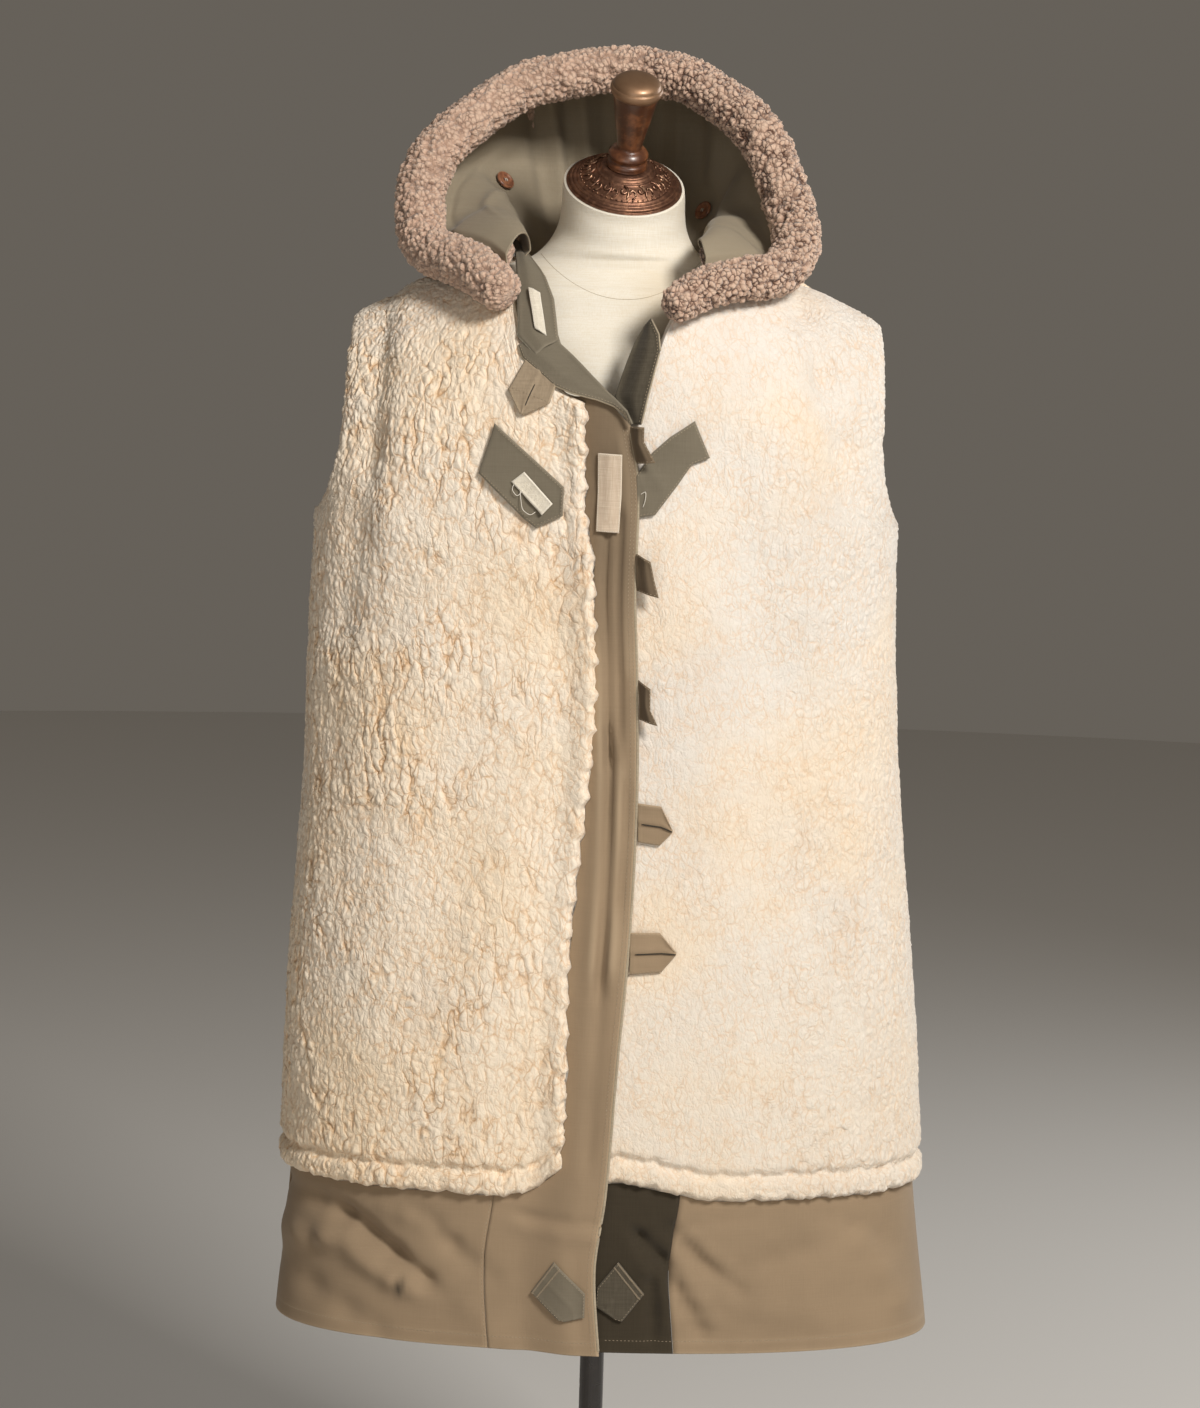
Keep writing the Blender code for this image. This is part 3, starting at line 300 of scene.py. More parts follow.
class Nodes:
    """Adds nodes to one tree."""

    def __init__(self, tree):
        self.tree = tree

    def put(self, socket, value):
        if isinstance(value, Socket):
            self.tree.links.new(value.socket, socket)
        elif isinstance(value, tuple) and len(value) == 3 and socket.type == "RGBA":
            socket.default_value = (*value, 1.0)
        else:
            socket.default_value = value

    def add(self, kind, output=0, inputs=None, **settings):
        """One node: its type, the output wanted, its sockets' values or links, and its settings."""
        node = self.tree.nodes.new(kind)
        for name, value in settings.items():
            setattr(node, name, value)
        for name, value in (inputs or {}).items():
            self.put(node.inputs[name], value)
        return Socket(self.tree, node.outputs[output])

    def vector(self, operation, *values):
        return self.add("ShaderNodeVectorMath", 0, dict(enumerate(values)), operation=operation)

    def scaled_by(self, vector, factor):
        return self.vector("SCALE", vector, (0, 0, 0), (0, 0, 0), factor)

    def along(self, at, axis):
        """One coordinate of a place."""
        return self.add("ShaderNodeSeparateXYZ", axis, {0: at})

    def scaled(self, at, x, y, z):
        return self.vector("MULTIPLY", at, (x, y, z))

    def noise(self, at, scale, detail=2.0, roughness=0.5, output="Fac"):
        return self.add("ShaderNodeTexNoise", output,
                        {"Vector": at, "Scale": scale, "Detail": detail, "Roughness": roughness})

    def cells(self, at, scale, feature="DISTANCE_TO_EDGE"):
        return self.add("ShaderNodeTexVoronoi", "Distance", {"Vector": at, "Scale": scale}, feature=feature)

    def bent(self, at, scale, amount, detail=2.0):
        """at, pushed about by noise."""
        push = self.vector("SUBTRACT", self.noise(at, scale, detail, output="Color"), (0.5, 0.5, 0.5))
        return self.vector("ADD", at, self.scaled_by(push, amount))

    def smooth(self, value, low, high):
        """0 below low, 1 above high, and a soft step between."""
        return self.add("ShaderNodeMapRange", 0, {0: value, 1: low, 2: high, 3: 0.0, 4: 1.0},
                        interpolation_type="SMOOTHSTEP", clamp=True)

    def mix(self, factor, first, second):
        return self.add("ShaderNodeMix", 2, {0: factor, 6: first, 7: second}, data_type="RGBA")

    def attribute(self, name, output="Fac"):
        return self.add("ShaderNodeAttribute", output, attribute_name=name)


def dome(value, width):
    """Rounded top of a clump, from the distance to its crack."""
    return 1.0 - (1.0 - (value / width).least(1.0)) ** 2.0


FINISHES = {}                 # materials by the names that pieces ask for
# Slots of the finishes, where a slot's name isn't the finish's own.
SLOTS = {"canvas_soiled": "canvas_tan", "canvas_light": "canvas_tan", "cotton_dark": "cotton_grey",
         "cotton_lining": "cotton_grey", "label_cream": "tape_white", "bronze_relief": "bronze",
         "fur_curled": "fur_brown", "wool_right_front": "fleece_cream", "wool_left_front": "fleece_cream",
         "wool_back": "fleece_cream"}
# Finishes of threads, cords and slits, which aren't in any slot.
SMALL = {"thread_light", "thread_white", "canvas_binding", "cotton_piping", "slit_dark", "seam_shadow"}


class Finish:
    """A material under way: its Principled shader, its nodes and where its pattern is read."""

    def __init__(self, name, roughness, **constants):
        material = bpy.data.materials.new(name)
        material.use_nodes = True
        self.nodes = Nodes(material.node_tree)
        self.shader = material.node_tree.nodes["Principled BSDF"]
        FINISHES[name] = material
        self.set("Roughness", roughness)
        for socket, value in constants.items():
            self.set(socket.replace("_", " "), value)

    def set(self, socket, value):
        self.nodes.put(self.shader.inputs[socket], value)

    def here(self):
        return self.nodes.add("ShaderNodeTexCoord", "Object")

    def rest(self):
        """The piece's points before its relief was raised."""
        return self.nodes.attribute("rest", "Vector")

    def bump(self, height, distance, strength):
        given = {"Strength": strength, "Distance": distance, "Height": height}
        self.set("Normal", self.nodes.add("ShaderNodeBump", 0, given))


# ---------------------------------------------------------------- mesh building
def new_mesh(name, points, faces):
    """A closed mesh whose faces look outwards."""
    mesh = bpy.data.meshes.new(name)
    mesh.from_pydata(points, [], faces)
    mesh.update()
    outward(mesh)
    return mesh


def piece(name, points, faces, finish, *nodes):
    """Make one visible piece at the origin and hide its frame nodes."""
    return placed(name, new_mesh(name, points, faces), finish, *nodes)


def outward(mesh):
    work = bmesh.new()
    work.from_mesh(mesh)
    bmesh.ops.recalc_face_normals(work, faces=work.faces[:])
    work.to_mesh(mesh)
    work.free()


def placed(name, mesh, finish, *nodes):
    mesh.materials.clear()
    mesh.materials.append(FINISHES[finish])
    mesh.polygons.foreach_set("use_smooth", [True] * len(mesh.polygons))
    made = bpy.data.objects.new(name, mesh)
    bpy.context.scene.collection.objects.link(made)
    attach(made, "root")
    if nodes:
        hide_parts(*nodes)
    finish not in SMALL
    return made


def store(mesh, name, values):
    """Keep one number or one vector per point on the mesh."""
    values = np.asarray(values, dtype=np.float32)
    kind, key = ("FLOAT_VECTOR", "vector") if values.ndim == 2 else ("FLOAT", "value")
    mesh.attributes.new(name, kind, "POINT").data.foreach_set(key, values.ravel())


def grid_quads(rows, columns, first=0):
    index = first + np.arange(rows * columns).reshape(rows, columns)
    return np.stack([index[:-1, :-1], index[:-1, 1:], index[1:, 1:], index[1:, :-1]], axis=-1).reshape(-1, 4)


def border(rows, columns, first=0):
    """Numbers of a grid's border points, in order round it."""
    r, c = rows - 1, columns - 1
    loop = ([(0, i) for i in range(c)] + [(i, c) for i in range(r)]
            + [(r, i) for i in range(c, 0, -1)] + [(i, 0) for i in range(r, 0, -1)])
    return [first + i * columns + j for i, j in loop]


def ring_faces(rings, sides):
    """Faces round a tube of rings, with both ends closed."""
    index = np.arange(rings * sides).reshape(rings, sides)
    after = np.roll(index, -1, axis=1)
    faces = np.stack([index[:-1], after[:-1], after[1:], index[1:]], axis=-1).reshape(-1, 4).tolist()
    return faces + [index[0][::-1].tolist(), index[-1].tolist()]


def wall(outer, inner, step=1):
    """Points and faces of a closed wall; the inner grid may have every step-th row and column only."""
    rows, columns = outer.shape[:2]
    inner = inner[::step, ::step]
    points = np.concatenate([outer.reshape(-1, 3), inner.reshape(-1, 3)])
    first = rows * columns
    faces = [tuple(q) for q in grid_quads(rows, columns).tolist()]
    faces += [tuple(q[::-1]) for q in grid_quads(*inner.shape[:2], first).tolist()]
    fine = border(rows, columns)
    coarse = border(*inner.shape[:2], first)
    fine.append(fine[0])
    coarse.append(coarse[0])
    for i, (a, b) in enumerate(zip(coarse, coarse[1:])):
        run = fine[i * step:(i + 1) * step + 1]
        if step == 1:
            faces.append((run[1], run[0], a, b))
            continue
        half = step // 2
        faces += [(run[k + 1], run[k], a) for k in range(half)]
        faces.append((run[half], a, b))
        faces += [(run[k + 1], run[k], b) for k in range(half, step)]
    return points, faces


def round_off(distance, radius):
    """Share of the full height at a distance from a rounded edge."""
    return np.sqrt(1 - (1 - np.clip(distance / radius, 0, 1)) ** 2)


def smoothstep(t):
    t = np.clip(t, 0.0, 1.0)
    return t * t * (3 - 2 * t)


def stops(count, step=1):
    """Shares from 0 to 1 whose number of steps is a multiple of step."""
    return np.linspace(0, 1, max(round(count / step), 1) * step + 1)


# ---------------------------------------------------------------- the coat's form
def shoulder_z(x):
    return SHOULDER.at(abs(x)).z


def depth_squared(x, z, back):
    """Square of the distance from the middle plane."""
    row = BODY.at(z)
    across = np.minimum(abs(x - row.centre_x) / row.half_width, 1.2) ** (2 / SIDE_POWER)
    section = np.sign(1 - across) * abs(1 - across) ** DEPTH_POWER
    fall = 1 - np.minimum((shoulder_z(x) - z) / SHOULDER_FALL, 1.0)
    depth = row.back_depth if back else row.front_depth
    return depth**2 * section * (1 - fall**2)


def unit(vectors):
    return vectors / np.maximum(np.linalg.norm(vectors, axis=-1, keepdims=True), 1e-12)


def on_coat(x, z, back, offset):
    """Points on the coat over (x, z), moved out from the canvas's inner face."""
    side = 1 if back else -1
    x, z, offset = np.broadcast_arrays(np.asarray(x, float), np.asarray(z, float), np.asarray(offset, float))
    y = side * np.sqrt(np.maximum(depth_squared(x, z, back), 0.0))
    step = 2e-4
    slope_x = (depth_squared(x + step, z, back) - depth_squared(x - step, z, back)) / (2 * step)
    slope_z = (depth_squared(x, z + step, back) - depth_squared(x, z - step, back)) / (2 * step)
    normal = unit(np.stack([-slope_x, 2 * y, -slope_z], axis=-1))
    return np.stack([x, y + side * SEAM_GAP / 2, z], axis=-1) + normal * offset[..., None]


def edge_x(z):
    return EDGE.at(z).canvas_x


def side_angle_x(angle, z):
    row = BODY.at(z)
    return row.centre_x + row.half_width * np.sign(angle) * abs(np.sin(angle)) ** SIDE_POWER


def angle_of_x(x, z):
    row = BODY.at(z)
    share = (x - row.centre_x) / row.half_width
    return np.sign(share) * np.arcsin(np.minimum(abs(share), 1.0) ** (1 / SIDE_POWER))


def armhole_angle(share):
    t = np.clip((share - UNDERARM) / ARMHOLE_RISE, 0.0, 1.0)
    return math.pi / 2 - (math.pi / 2 - TIP_ANGLE) * np.sqrt(1 - (1 - t) ** 2)


# Soft troughs (depth below zero) and ridges: a line from (x, z) to (x2, z2), its half width and its depth.
Fold = namedtuple("Fold", "x z x2 z2 width depth")
FRONT_FOLDS = [Fold(*row) for row in [
    (-0.216, 1.420, -0.226, 1.270, 0.013, -0.0075), (-0.226, 1.270, -0.246, 1.120, 0.016, -0.0055),
    (-0.190, 1.400, -0.200, 1.200, 0.022, 0.0030), (-0.246, 1.110, -0.262, 0.960, 0.020, -0.0025),
    (0.160, 1.420, 0.188, 1.349, 0.014, -0.0065), (0.188, 1.349, 0.210, 1.270, 0.015, -0.0060),
    (0.210, 1.270, 0.228, 1.120, 0.020, -0.0040), (0.100, 1.270, 0.150, 1.090, 0.032, -0.0035),
    (0.150, 1.090, 0.190, 0.860, 0.040, -0.0035), (0.060, 1.130, 0.100, 0.900, 0.035, 0.0030),
    (-0.120, 1.120, -0.150, 0.830, 0.040, -0.0030), (-0.190, 0.980, -0.205, 0.700, 0.036, 0.0030),
    (-0.090, 0.880, -0.110, 0.640, 0.030, 0.0025), (0.230, 0.900, 0.250, 0.640, 0.030, 0.0030),
    (0.120, 0.780, 0.140, 0.600, 0.034, 0.0025),
]]
HEM_FOLDS = [Fold(*row) for row in [
    (-0.300, 0.562, -0.263, 0.558, 0.012, -0.0050), (-0.263, 0.558, -0.232, 0.542, 0.011, -0.0070),
    (-0.232, 0.542, -0.199, 0.520, 0.010, -0.0110), (-0.199, 0.520, -0.162, 0.494, 0.008, -0.0090),
    (-0.286, 0.514, -0.248, 0.520, 0.014, 0.0060), (-0.248, 0.520, -0.202, 0.494, 0.012, 0.0060),
    (-0.202, 0.494, -0.172, 0.480, 0.010, 0.0040), (-0.190, 0.556, -0.160, 0.546, 0.010, 0.0035),
    (-0.160, 0.552, -0.135, 0.526, 0.010, -0.0050), (-0.135, 0.526, -0.107, 0.505, 0.011, -0.0030),
    (-0.095, 0.570, -0.057, 0.560, 0.007, -0.0035), (-0.057, 0.560, -0.004, 0.558, 0.007, -0.0040),
    (-0.060, 0.548, -0.010, 0.544, 0.009, 0.0025), (-0.270, 0.470, -0.220, 0.446, 0.014, -0.0050),
    (-0.120, 0.470, -0.090, 0.440, 0.014, 0.0025), (-0.020, 0.520, -0.012, 0.450, 0.009, -0.0020),
    (0.008, 0.567, 0.041, 0.542, 0.006, -0.0060), (0.041, 0.542, 0.065, 0.519, 0.006, -0.0075),
    (0.065, 0.519, 0.074, 0.494, 0.006, -0.0050), (0.030, 0.528, 0.055, 0.500, 0.007, 0.0035),
    (0.054, 0.496, 0.056, 0.452, 0.006, -0.0060), (0.066, 0.500, 0.068, 0.462, 0.005, 0.0030),
    (0.076, 0.547, 0.100, 0.519, 0.008, -0.0060), (0.100, 0.519, 0.133, 0.494, 0.008, -0.0050),
    (0.092, 0.540, 0.118, 0.517, 0.008, 0.0030), (0.078, 0.492, 0.097, 0.458, 0.007, -0.0065),
    (0.092, 0.496, 0.112, 0.466, 0.008, 0.0035), (0.100, 0.560, 0.140, 0.566, 0.010, -0.0030),
    (0.160, 0.516, 0.203, 0.529, 0.014, -0.0035), (0.150, 0.474, 0.215, 0.462, 0.014, 0.0030),
    (0.225, 0.560, 0.262, 0.540, 0.012, -0.0035), (0.262, 0.520, 0.292, 0.470, 0.015, 0.0040),
]]
BACK_FOLDS = [Fold(*row) for row in [
    (-0.205, 1.410, -0.222, 1.250, 0.015, -0.0065), (0.198, 1.410, 0.214, 1.240, 0.015, -0.0060),
    (-0.070, 1.260, -0.085, 0.900, 0.034, -0.0040), (0.060, 1.230, 0.082, 0.860, 0.036, -0.0040),
    (-0.005, 1.160, 0.010, 0.720, 0.030, 0.0035), (-0.150, 1.040, -0.175, 0.640, 0.032, 0.0035),
    (0.150, 1.060, 0.168, 0.650, 0.032, 0.0035), (-0.220, 0.960, -0.240, 0.620, 0.024, -0.0030),
    (0.222, 0.940, 0.243, 0.620, 0.024, -0.0030),
    (-0.235, 0.530, -0.180, 0.500, 0.012, -0.0045), (-0.120, 0.550, -0.080, 0.470, 0.014, 0.0035),
    (-0.020, 0.540, 0.020, 0.450, 0.014, -0.0040), (0.090, 0.545, 0.130, 0.480, 0.013, 0.0035),
    (0.180, 0.520, 0.235, 0.480, 0.012, -0.0045),
]]


def fold_height(folds, x, z):
    """Height that the folds add at each point."""
    height = np.zeros(np.broadcast(x, z).shape)
    for fold in folds:
        along = np.array([fold.x2 - fold.x, fold.z2 - fold.z])
        reach = float(np.hypot(*along))
        u, w = (x - fold.x) / reach, (z - fold.z) / reach
        t = (u * along[0] + w * along[1]) / reach
        off = (u * along[1] - w * along[0]) / fold.width
        beyond = np.maximum(np.maximum(-t, t - 1), 0) * reach / (2 * fold.width)
        swell = 0.8 + 0.2 * np.sin(9 * t + 40 * fold.x)
        height += fold.depth * swell * np.exp(-off**2 - beyond**2)
    return height


def lift(from_edge):
    """Rise of the right front over the left one, by the distance from the right front's edge."""
    return LIFT * smoothstep((from_edge - LIFT_FROM) / (LIFT_TO - LIFT_FROM))


def below(z, low, high):
    """1 under the height low, 0 over the height high."""
    return 1 - smoothstep((z - low) / (high - low))


def on_right(x, z, offset):
    relief = fold_height(FRONT_FOLDS, x, z) + fold_height(HEM_FOLDS, x, z) * below(z, 0.545, 0.575)
    return on_coat(x, z, False, offset + lift(x - edge_x(z)) + relief)


def on_left(x, z, offset):
    relief = fold_height(FRONT_FOLDS, x, z) + fold_height(HEM_FOLDS, x, z) * below(z, 0.545, 0.575)
    return on_coat(x, z, False, offset + relief * smoothstep((x - 0.02) / 0.03))


def on_back(x, z, offset):
    return on_coat(x, z, True, offset + fold_height(BACK_FOLDS, x, z))


def rise_shares(count):
    """Shares of the height over SPLIT_Z, closer together near the shoulder line."""
    return 1 - (1 - np.arange(1, count + 1) / count) ** 1.7


def front_grid(side, near, start, seam, far, low, rises):
    """x and z of one front. near: shares from the free edge to the facing's seam, which are start and
    seam from the right front's edge; far: shares from there to the side; low: heights; rises: shares."""
    def x_of(z, share):
        first = start(z)[..., None] if callable(start) else start
        facing = edge_x(z)[..., None] + side * (first + (seam - first) * near)
        begin = angle_of_x(edge_x(z) + side * seam, z)[..., None]
        panel = side_angle_x(begin + (side * armhole_angle(share)[..., None] - begin) * far[1:], z[..., None])
        return np.concatenate([facing, panel], axis=-1)

    neck = RIGHT_NECK if side < 0 else LEFT_NECK
    x_top = x_of(np.array([TOP_COLUMN_Z]), np.array([1.0]))[0]
    on_neck = abs(x_top) < NECK_HALF
    top = np.where(on_neck, neck.at(x_top).z, shoulder_z(x_top))
    x_low = x_of(low, np.zeros(len(low)))
    z_low = np.broadcast_to(low[:, None], x_low.shape)
    x_high, z_high = [], []
    for share in rises:
        z = SPLIT_Z + (top - SPLIT_Z) * share
        columns = np.arange(len(z))
        x = x_of(z, np.full(len(z), share))[columns, columns]
        z = np.where(on_neck, z, np.minimum(z, shoulder_z(x)))
        x_high.append(x)
        z_high.append(np.where(on_neck | (share < 1), z, shoulder_z(x)))
    share = np.concatenate([np.zeros(len(low)), rises])
    return (np.concatenate([x_low, x_high]), np.concatenate([z_low, z_high]),
            np.broadcast_to(share[:, None], (len(share), len(x_top))), x_top)


def back_grid(columns, low, rises):
    part = np.sign(columns) * abs(columns) ** SIDE_POWER
    x_top = side_angle_x(part * armhole_angle(1.0), TOP_COLUMN_Z)
    blend = (abs(x_top) / NECK_HALF) ** BACK_NECK_POWER
    neck_top = BACK_NECK_Z + (shoulder_z(NECK_HALF) - BACK_NECK_Z) * blend
    on_neck = abs(x_top) < NECK_HALF
    top = np.where(on_neck, neck_top, shoulder_z(x_top))
    z_low = np.repeat(low[:, None], len(columns), axis=1)
    x_low = side_angle_x(part * math.pi / 2, z_low)
    z_high = SPLIT_Z + (top - SPLIT_Z) * rises[:, None]
    x_high = side_angle_x(part * armhole_angle(rises)[:, None], z_high)
    z_high = np.where(on_neck, z_high, np.minimum(z_high, shoulder_z(x_high)))
    z_high[-1] = np.where(on_neck, z_high[-1], shoulder_z(x_high[-1]))
    share = np.concatenate([np.zeros(len(low)), rises])
    return (np.concatenate([x_low, x_high]), np.concatenate([z_low, z_high]),
            np.broadcast_to(share[:, None], (len(share), len(columns))), x_top)


def arc_lengths(points):
    """Distance along each row of a grid from its first column."""
    steps = np.linalg.norm(np.diff(points, axis=1), axis=-1)
    return np.concatenate([np.zeros((len(points), 1)), np.cumsum(steps, axis=1)], axis=1)


def rise_lengths(points):
    """Distance along each column of a grid from its first row."""
    return arc_lengths(points.transpose(1, 0, 2)).T


# ---------------------------------------------------------------- relief raised by geometry nodes
def geometry_tree(name, sockets):
    """A geometry node group with named inputs; returns its nodes, its inputs by name and its exit."""
    tree = bpy.data.node_groups.new(name, "GeometryNodeTree")
    tree.interface.new_socket("Geometry", in_out="INPUT", socket_type="NodeSocketGeometry")
    tree.interface.new_socket("Geometry", in_out="OUTPUT", socket_type="NodeSocketGeometry")
    for socket, kind in sockets.items():
        tree.interface.new_socket(socket, in_out="INPUT", socket_type=kind)
    entry = tree.nodes.new("NodeGroupInput")
    leave = tree.nodes.new("NodeGroupOutput")
    given = {s.name: Socket(tree, s) for s in entry.outputs if s.name}
    return tree, Nodes(tree), given, leave.inputs["Geometry"]


def run_tree(mesh, tree, values):
    """The mesh that the tree makes of a mesh, with the tree's inputs set by their identifiers."""
    work = bpy.data.objects.new("work", mesh)
    bpy.context.scene.collection.objects.link(work)
    modifier = work.modifiers.new("tree", "NODES")
    modifier.node_group = tree
    for item in tree.interface.items_tree:
        if item.in_out == "INPUT" and item.name in values:
            modifier[item.identifier] = values[item.name]
    bpy.context.view_layer.update()
    evaluated = work.evaluated_get(bpy.context.evaluated_depsgraph_get())
    made = bpy.data.meshes.new_from_object(evaluated)
    work.modifiers.remove(modifier)
    bpy.data.objects.remove(work)
    return made


def wool_pattern(nodes, at, clump, parting):
    """Height of a wool surface (about 0 to 1); then, at each point, the distances from its long upright
    cracks, its clumps' borders and its small bumps' borders, and how strongly and how brokenly it parts."""
    jagged = nodes.bent(nodes.bent(at, 42.0, 0.014), 200.0, 0.0030)
    drawn = nodes.scaled(jagged, 1.0, 1.0, 0.55)
    vein = (nodes.noise(nodes.scaled(jagged, 1.0, 1.0, 0.26), 0.50 / clump, 1.0) - 0.5).size()
    border = nodes.cells(drawn, 1.0 / clump)
    small = nodes.cells(nodes.bent(drawn, 400.0, 0.0014), 1.9 / clump)
    across = nodes.along(at, "X").size()
    to_side = nodes.smooth(across, 0.06, 0.21)
    parted = parting * (0.30 + 0.70 * nodes.smooth(nodes.noise(at, 13.0, 1.0), 0.38, 0.60))
    parted = parted * (0.55 + 0.45 * to_side)
    broken = nodes.smooth(nodes.noise(at, 85.0, 1.0), 0.40, 0.60)
    swell = nodes.noise(drawn, 0.9 / clump, 1.0)
    height = (dome(vein, 0.060) * parted * 0.42 + dome(border, 0.34) * (0.25 + 0.75 * broken) * parted * 0.40
              + dome(small, 0.44) * (0.18 + 0.18 * to_side) + swell * 0.42)
    return height, vein, border, small, parted, broken


def relief_tree(name, pattern):
    """Raises each point along its normal by the pattern, as far as its pile allows."""
    tree, nodes, given, leave = geometry_tree(name, {
        "Size": "NodeSocketFloat", "Height": "NodeSocketFloat", "Parting": "NodeSocketFloat",
        "Middle": "NodeSocketFloat", "Finish": "NodeSocketMaterial"})
    at = nodes.add("GeometryNodeInputNamedAttribute", 0, {"Name": "rest"}, data_type="FLOAT_VECTOR")
    pile = nodes.add("GeometryNodeInputNamedAttribute", 0, {"Name": "pile"}, data_type="FLOAT")
    height = pattern(nodes, at, given["Size"], given["Parting"])[0]
    normal = nodes.add("GeometryNodeInputNormal")
    push = nodes.scaled_by(normal, (height - given["Middle"]) * given["Height"] * pile)
    moved = nodes.add("GeometryNodeSetPosition", 0, {"Geometry": given["Geometry"], "Offset": push})
    moved = nodes.add("GeometryNodeRealizeInstances", 0, {"Geometry": moved})
    moved = nodes.add("GeometryNodeSetMaterial", 0, {"Geometry": moved, "Material": given["Finish"]})
    tree.links.new(moved.socket, leave)


def furred(name, points, faces, pile, relief, finish, node):
    """A piece with clumps or curls raised on it; pile: their share of the full height, by point; relief: the
    tree's name, then the clumps' size, height and parting, and the pattern's value that stays in place."""
    mesh = new_mesh(name, points, faces)
    store(mesh, "rest", points)
    store(mesh, "pile", pile)
    tree, size, height, parting, middle = relief
    made = run_tree(mesh, bpy.data.node_groups[tree], {"Size": size, "Height": height, "Parting": parting,
                                                       "Middle": middle, "Finish": FINISHES[finish]})
    return placed(name, made, finish, node)


def wool_finish(name, clump, parting, cream, lines):
    """Shearling: cream tips, soiled patches, fine curls, and cracks painted peach-brown as painted shade with
    the warm glow of light deep in the wool.
    lines: strength of the cracks' painted shade."""
    wool = bpy.context.scene.coat_wool
    finish = Finish(name, 0.93, Sheen_Weight=0.22, Sheen_Roughness=0.6, Specular_IOR_Level=0.15)
    n, at = finish.nodes, finish.rest()
    height, vein, border, small, parted, broken = wool_pattern(n, at, clump, parting)
    curls = n.cells(n.bent(at, 300.0, 0.0010), 1.0 / 0.0034)
    fibres = n.noise(at, 800.0, 3.0, 0.7)
    soiled = n.smooth(n.noise(n.scaled(at, 1.0, 1.0, 0.5), 10.0, 3.0, 0.6), 0.50, 0.70)
    tone = n.mix(soiled * (0.16 + 0.34 * lines), cream, tuple(wool.grey))
    blush = n.smooth(n.noise(at, 6.0, 2.0), 0.42, 0.70)
    tone = n.mix(blush * 0.40, tone, (0.88, 0.67, 0.42))
    low = 1.0 - n.smooth(n.along(at, "Z"), 0.58, 1.05)
    tone = n.mix(low * 0.20, tone, (0.86, 0.66, 0.40))
    tone = n.mix(((fibres - 0.42) * 0.5).clamped(), tone, (0.98, 0.92, 0.83))
    # Painted shade: the halo, lace, specks and deep parts of the cracks are coloured peach-brown for the
    # shade and warm glow between the clumps.
    halo = (1.0 - n.smooth(vein, 0.0, 0.060)) * parted
    tone = n.mix((halo * 0.55 * lines).clamped(), tone, (0.82, 0.52, 0.24))
    lace = (1.0 - n.smooth(border, 0.0, 0.13)) * n.smooth(n.noise(at, 34.0, 2.0), 0.34, 0.58)
    speck = (1.0 - n.smooth(small, 0.0, 0.15)) * n.smooth(n.noise(at, 110.0, 2.0), 0.42, 0.62)
    tone = n.mix(((speck * 0.42 + lace * 0.50) * (0.40 + 0.60 * lines)).clamped(), tone, (0.68, 0.42, 0.21))
    deep = ((1.0 - n.smooth(vein, 0.0, 0.020)) * n.smooth(n.noise(at, 60.0, 2.0), 0.34, 0.56) * parted
            + (1.0 - n.smooth(border, 0.0, 0.055)) * broken * parted * 0.60)
    tone = n.mix((deep * lines).clamped(), tone, tuple(wool.peach))
    finish.set("Base Color", tone)
    finish.bump(height + dome(curls, 0.44) * 0.09 + fibres * 0.12 - deep * 0.35, 0.0034, 0.48)


HEM_GROOVE = 0.024            # height of the stitched groove over the wool's lower edge
COARSE = 8                    # a hidden inner face has every 8th row and column of its outer one
BACK_COARSER = 1.33           # pitch of the back's mesh over that of the fronts
LEFT_START = -0.018           # where the left front's wool starts, under the right front
CLOSURE_RIGHT = 0.067         # widths, over the wool's pitch, from the free edge to the facing's seam
CLOSURE_LEFT = 0.088
PANEL_RIGHT = 0.285           # and from there to the side
PANEL_LEFT = 0.295
BACK_WIDTH = 0.70
SHOULDER_RISE = 0.30          # length of the rows over SPLIT_Z
WOOL_MIDDLE = 0.60            # height of the pattern that stays in place


def uneven(along, size):
    """Smooth uneven wander along an edge."""
    return size * (0.42 * np.sin(along * 391 + 0.6) + 0.16 * np.sin(along * 703 + 2.1)
                   + 0.50 * np.sin(along * 197 + 4.0) + 0.05 * np.sin(along * 1301 + 1.3))


def wool_rows(pitch):
    """Heights of the level rows, then shares of the height over them."""
    low = FLEECE_HEM_Z + (SPLIT_Z - FLEECE_HEM_Z) * stops((SPLIT_Z - FLEECE_HEM_Z) / pitch, COARSE)
    return low, rise_shares(COARSE * round(SHOULDER_RISE / pitch / COARSE))


def drawn_down(thick, rough, share, x_top, from_side):
    """Share of the wool's full thickness, drawn down to its cut edges at the armhole and the neck."""
    armhole = smoothstep((share - 0.04) / 0.06)
    neck = 1 - smoothstep((abs(x_top) - NECK_HALF + 0.012) / 0.012)
    height = rise_lengths(rough)
    from_top = height[-1:] - height
    thick = thick * (1 - armhole * (1 - round_off(from_side, 0.009)))
    return thick * (1 - neck * (1 - round_off(from_top, 0.008)))


def groove_at(from_hem):
    """Depth of the stitched groove over the hem."""
    return np.exp(-((from_hem - HEM_GROOVE) / 0.0045) ** 2) * 0.0060


def raised_wool(name, node, place, x, z, thick, added, curly, clump, parting, cream, lines):
    """One wool piece: its wall, with clumps raised on its outer face."""
    outer = place(x, z, FLEECE_IN + 0.0004 + (FLEECE_THICK - 0.0010) * thick + added)
    points, faces = wall(outer, place(x, z, FLEECE_IN), COARSE)
    pile = np.zeros(len(points))
    pile[:x.size] = (curly * np.minimum(1.0, 0.35 + thick)).ravel()
    wool_finish(name, clump, parting, tuple(cream), lines)
    relief = ("wool relief", clump, bpy.context.scene.coat_wool.depth, parting, WOOL_MIDDLE)
    return furred(name, points, faces, pile, relief, name, node)


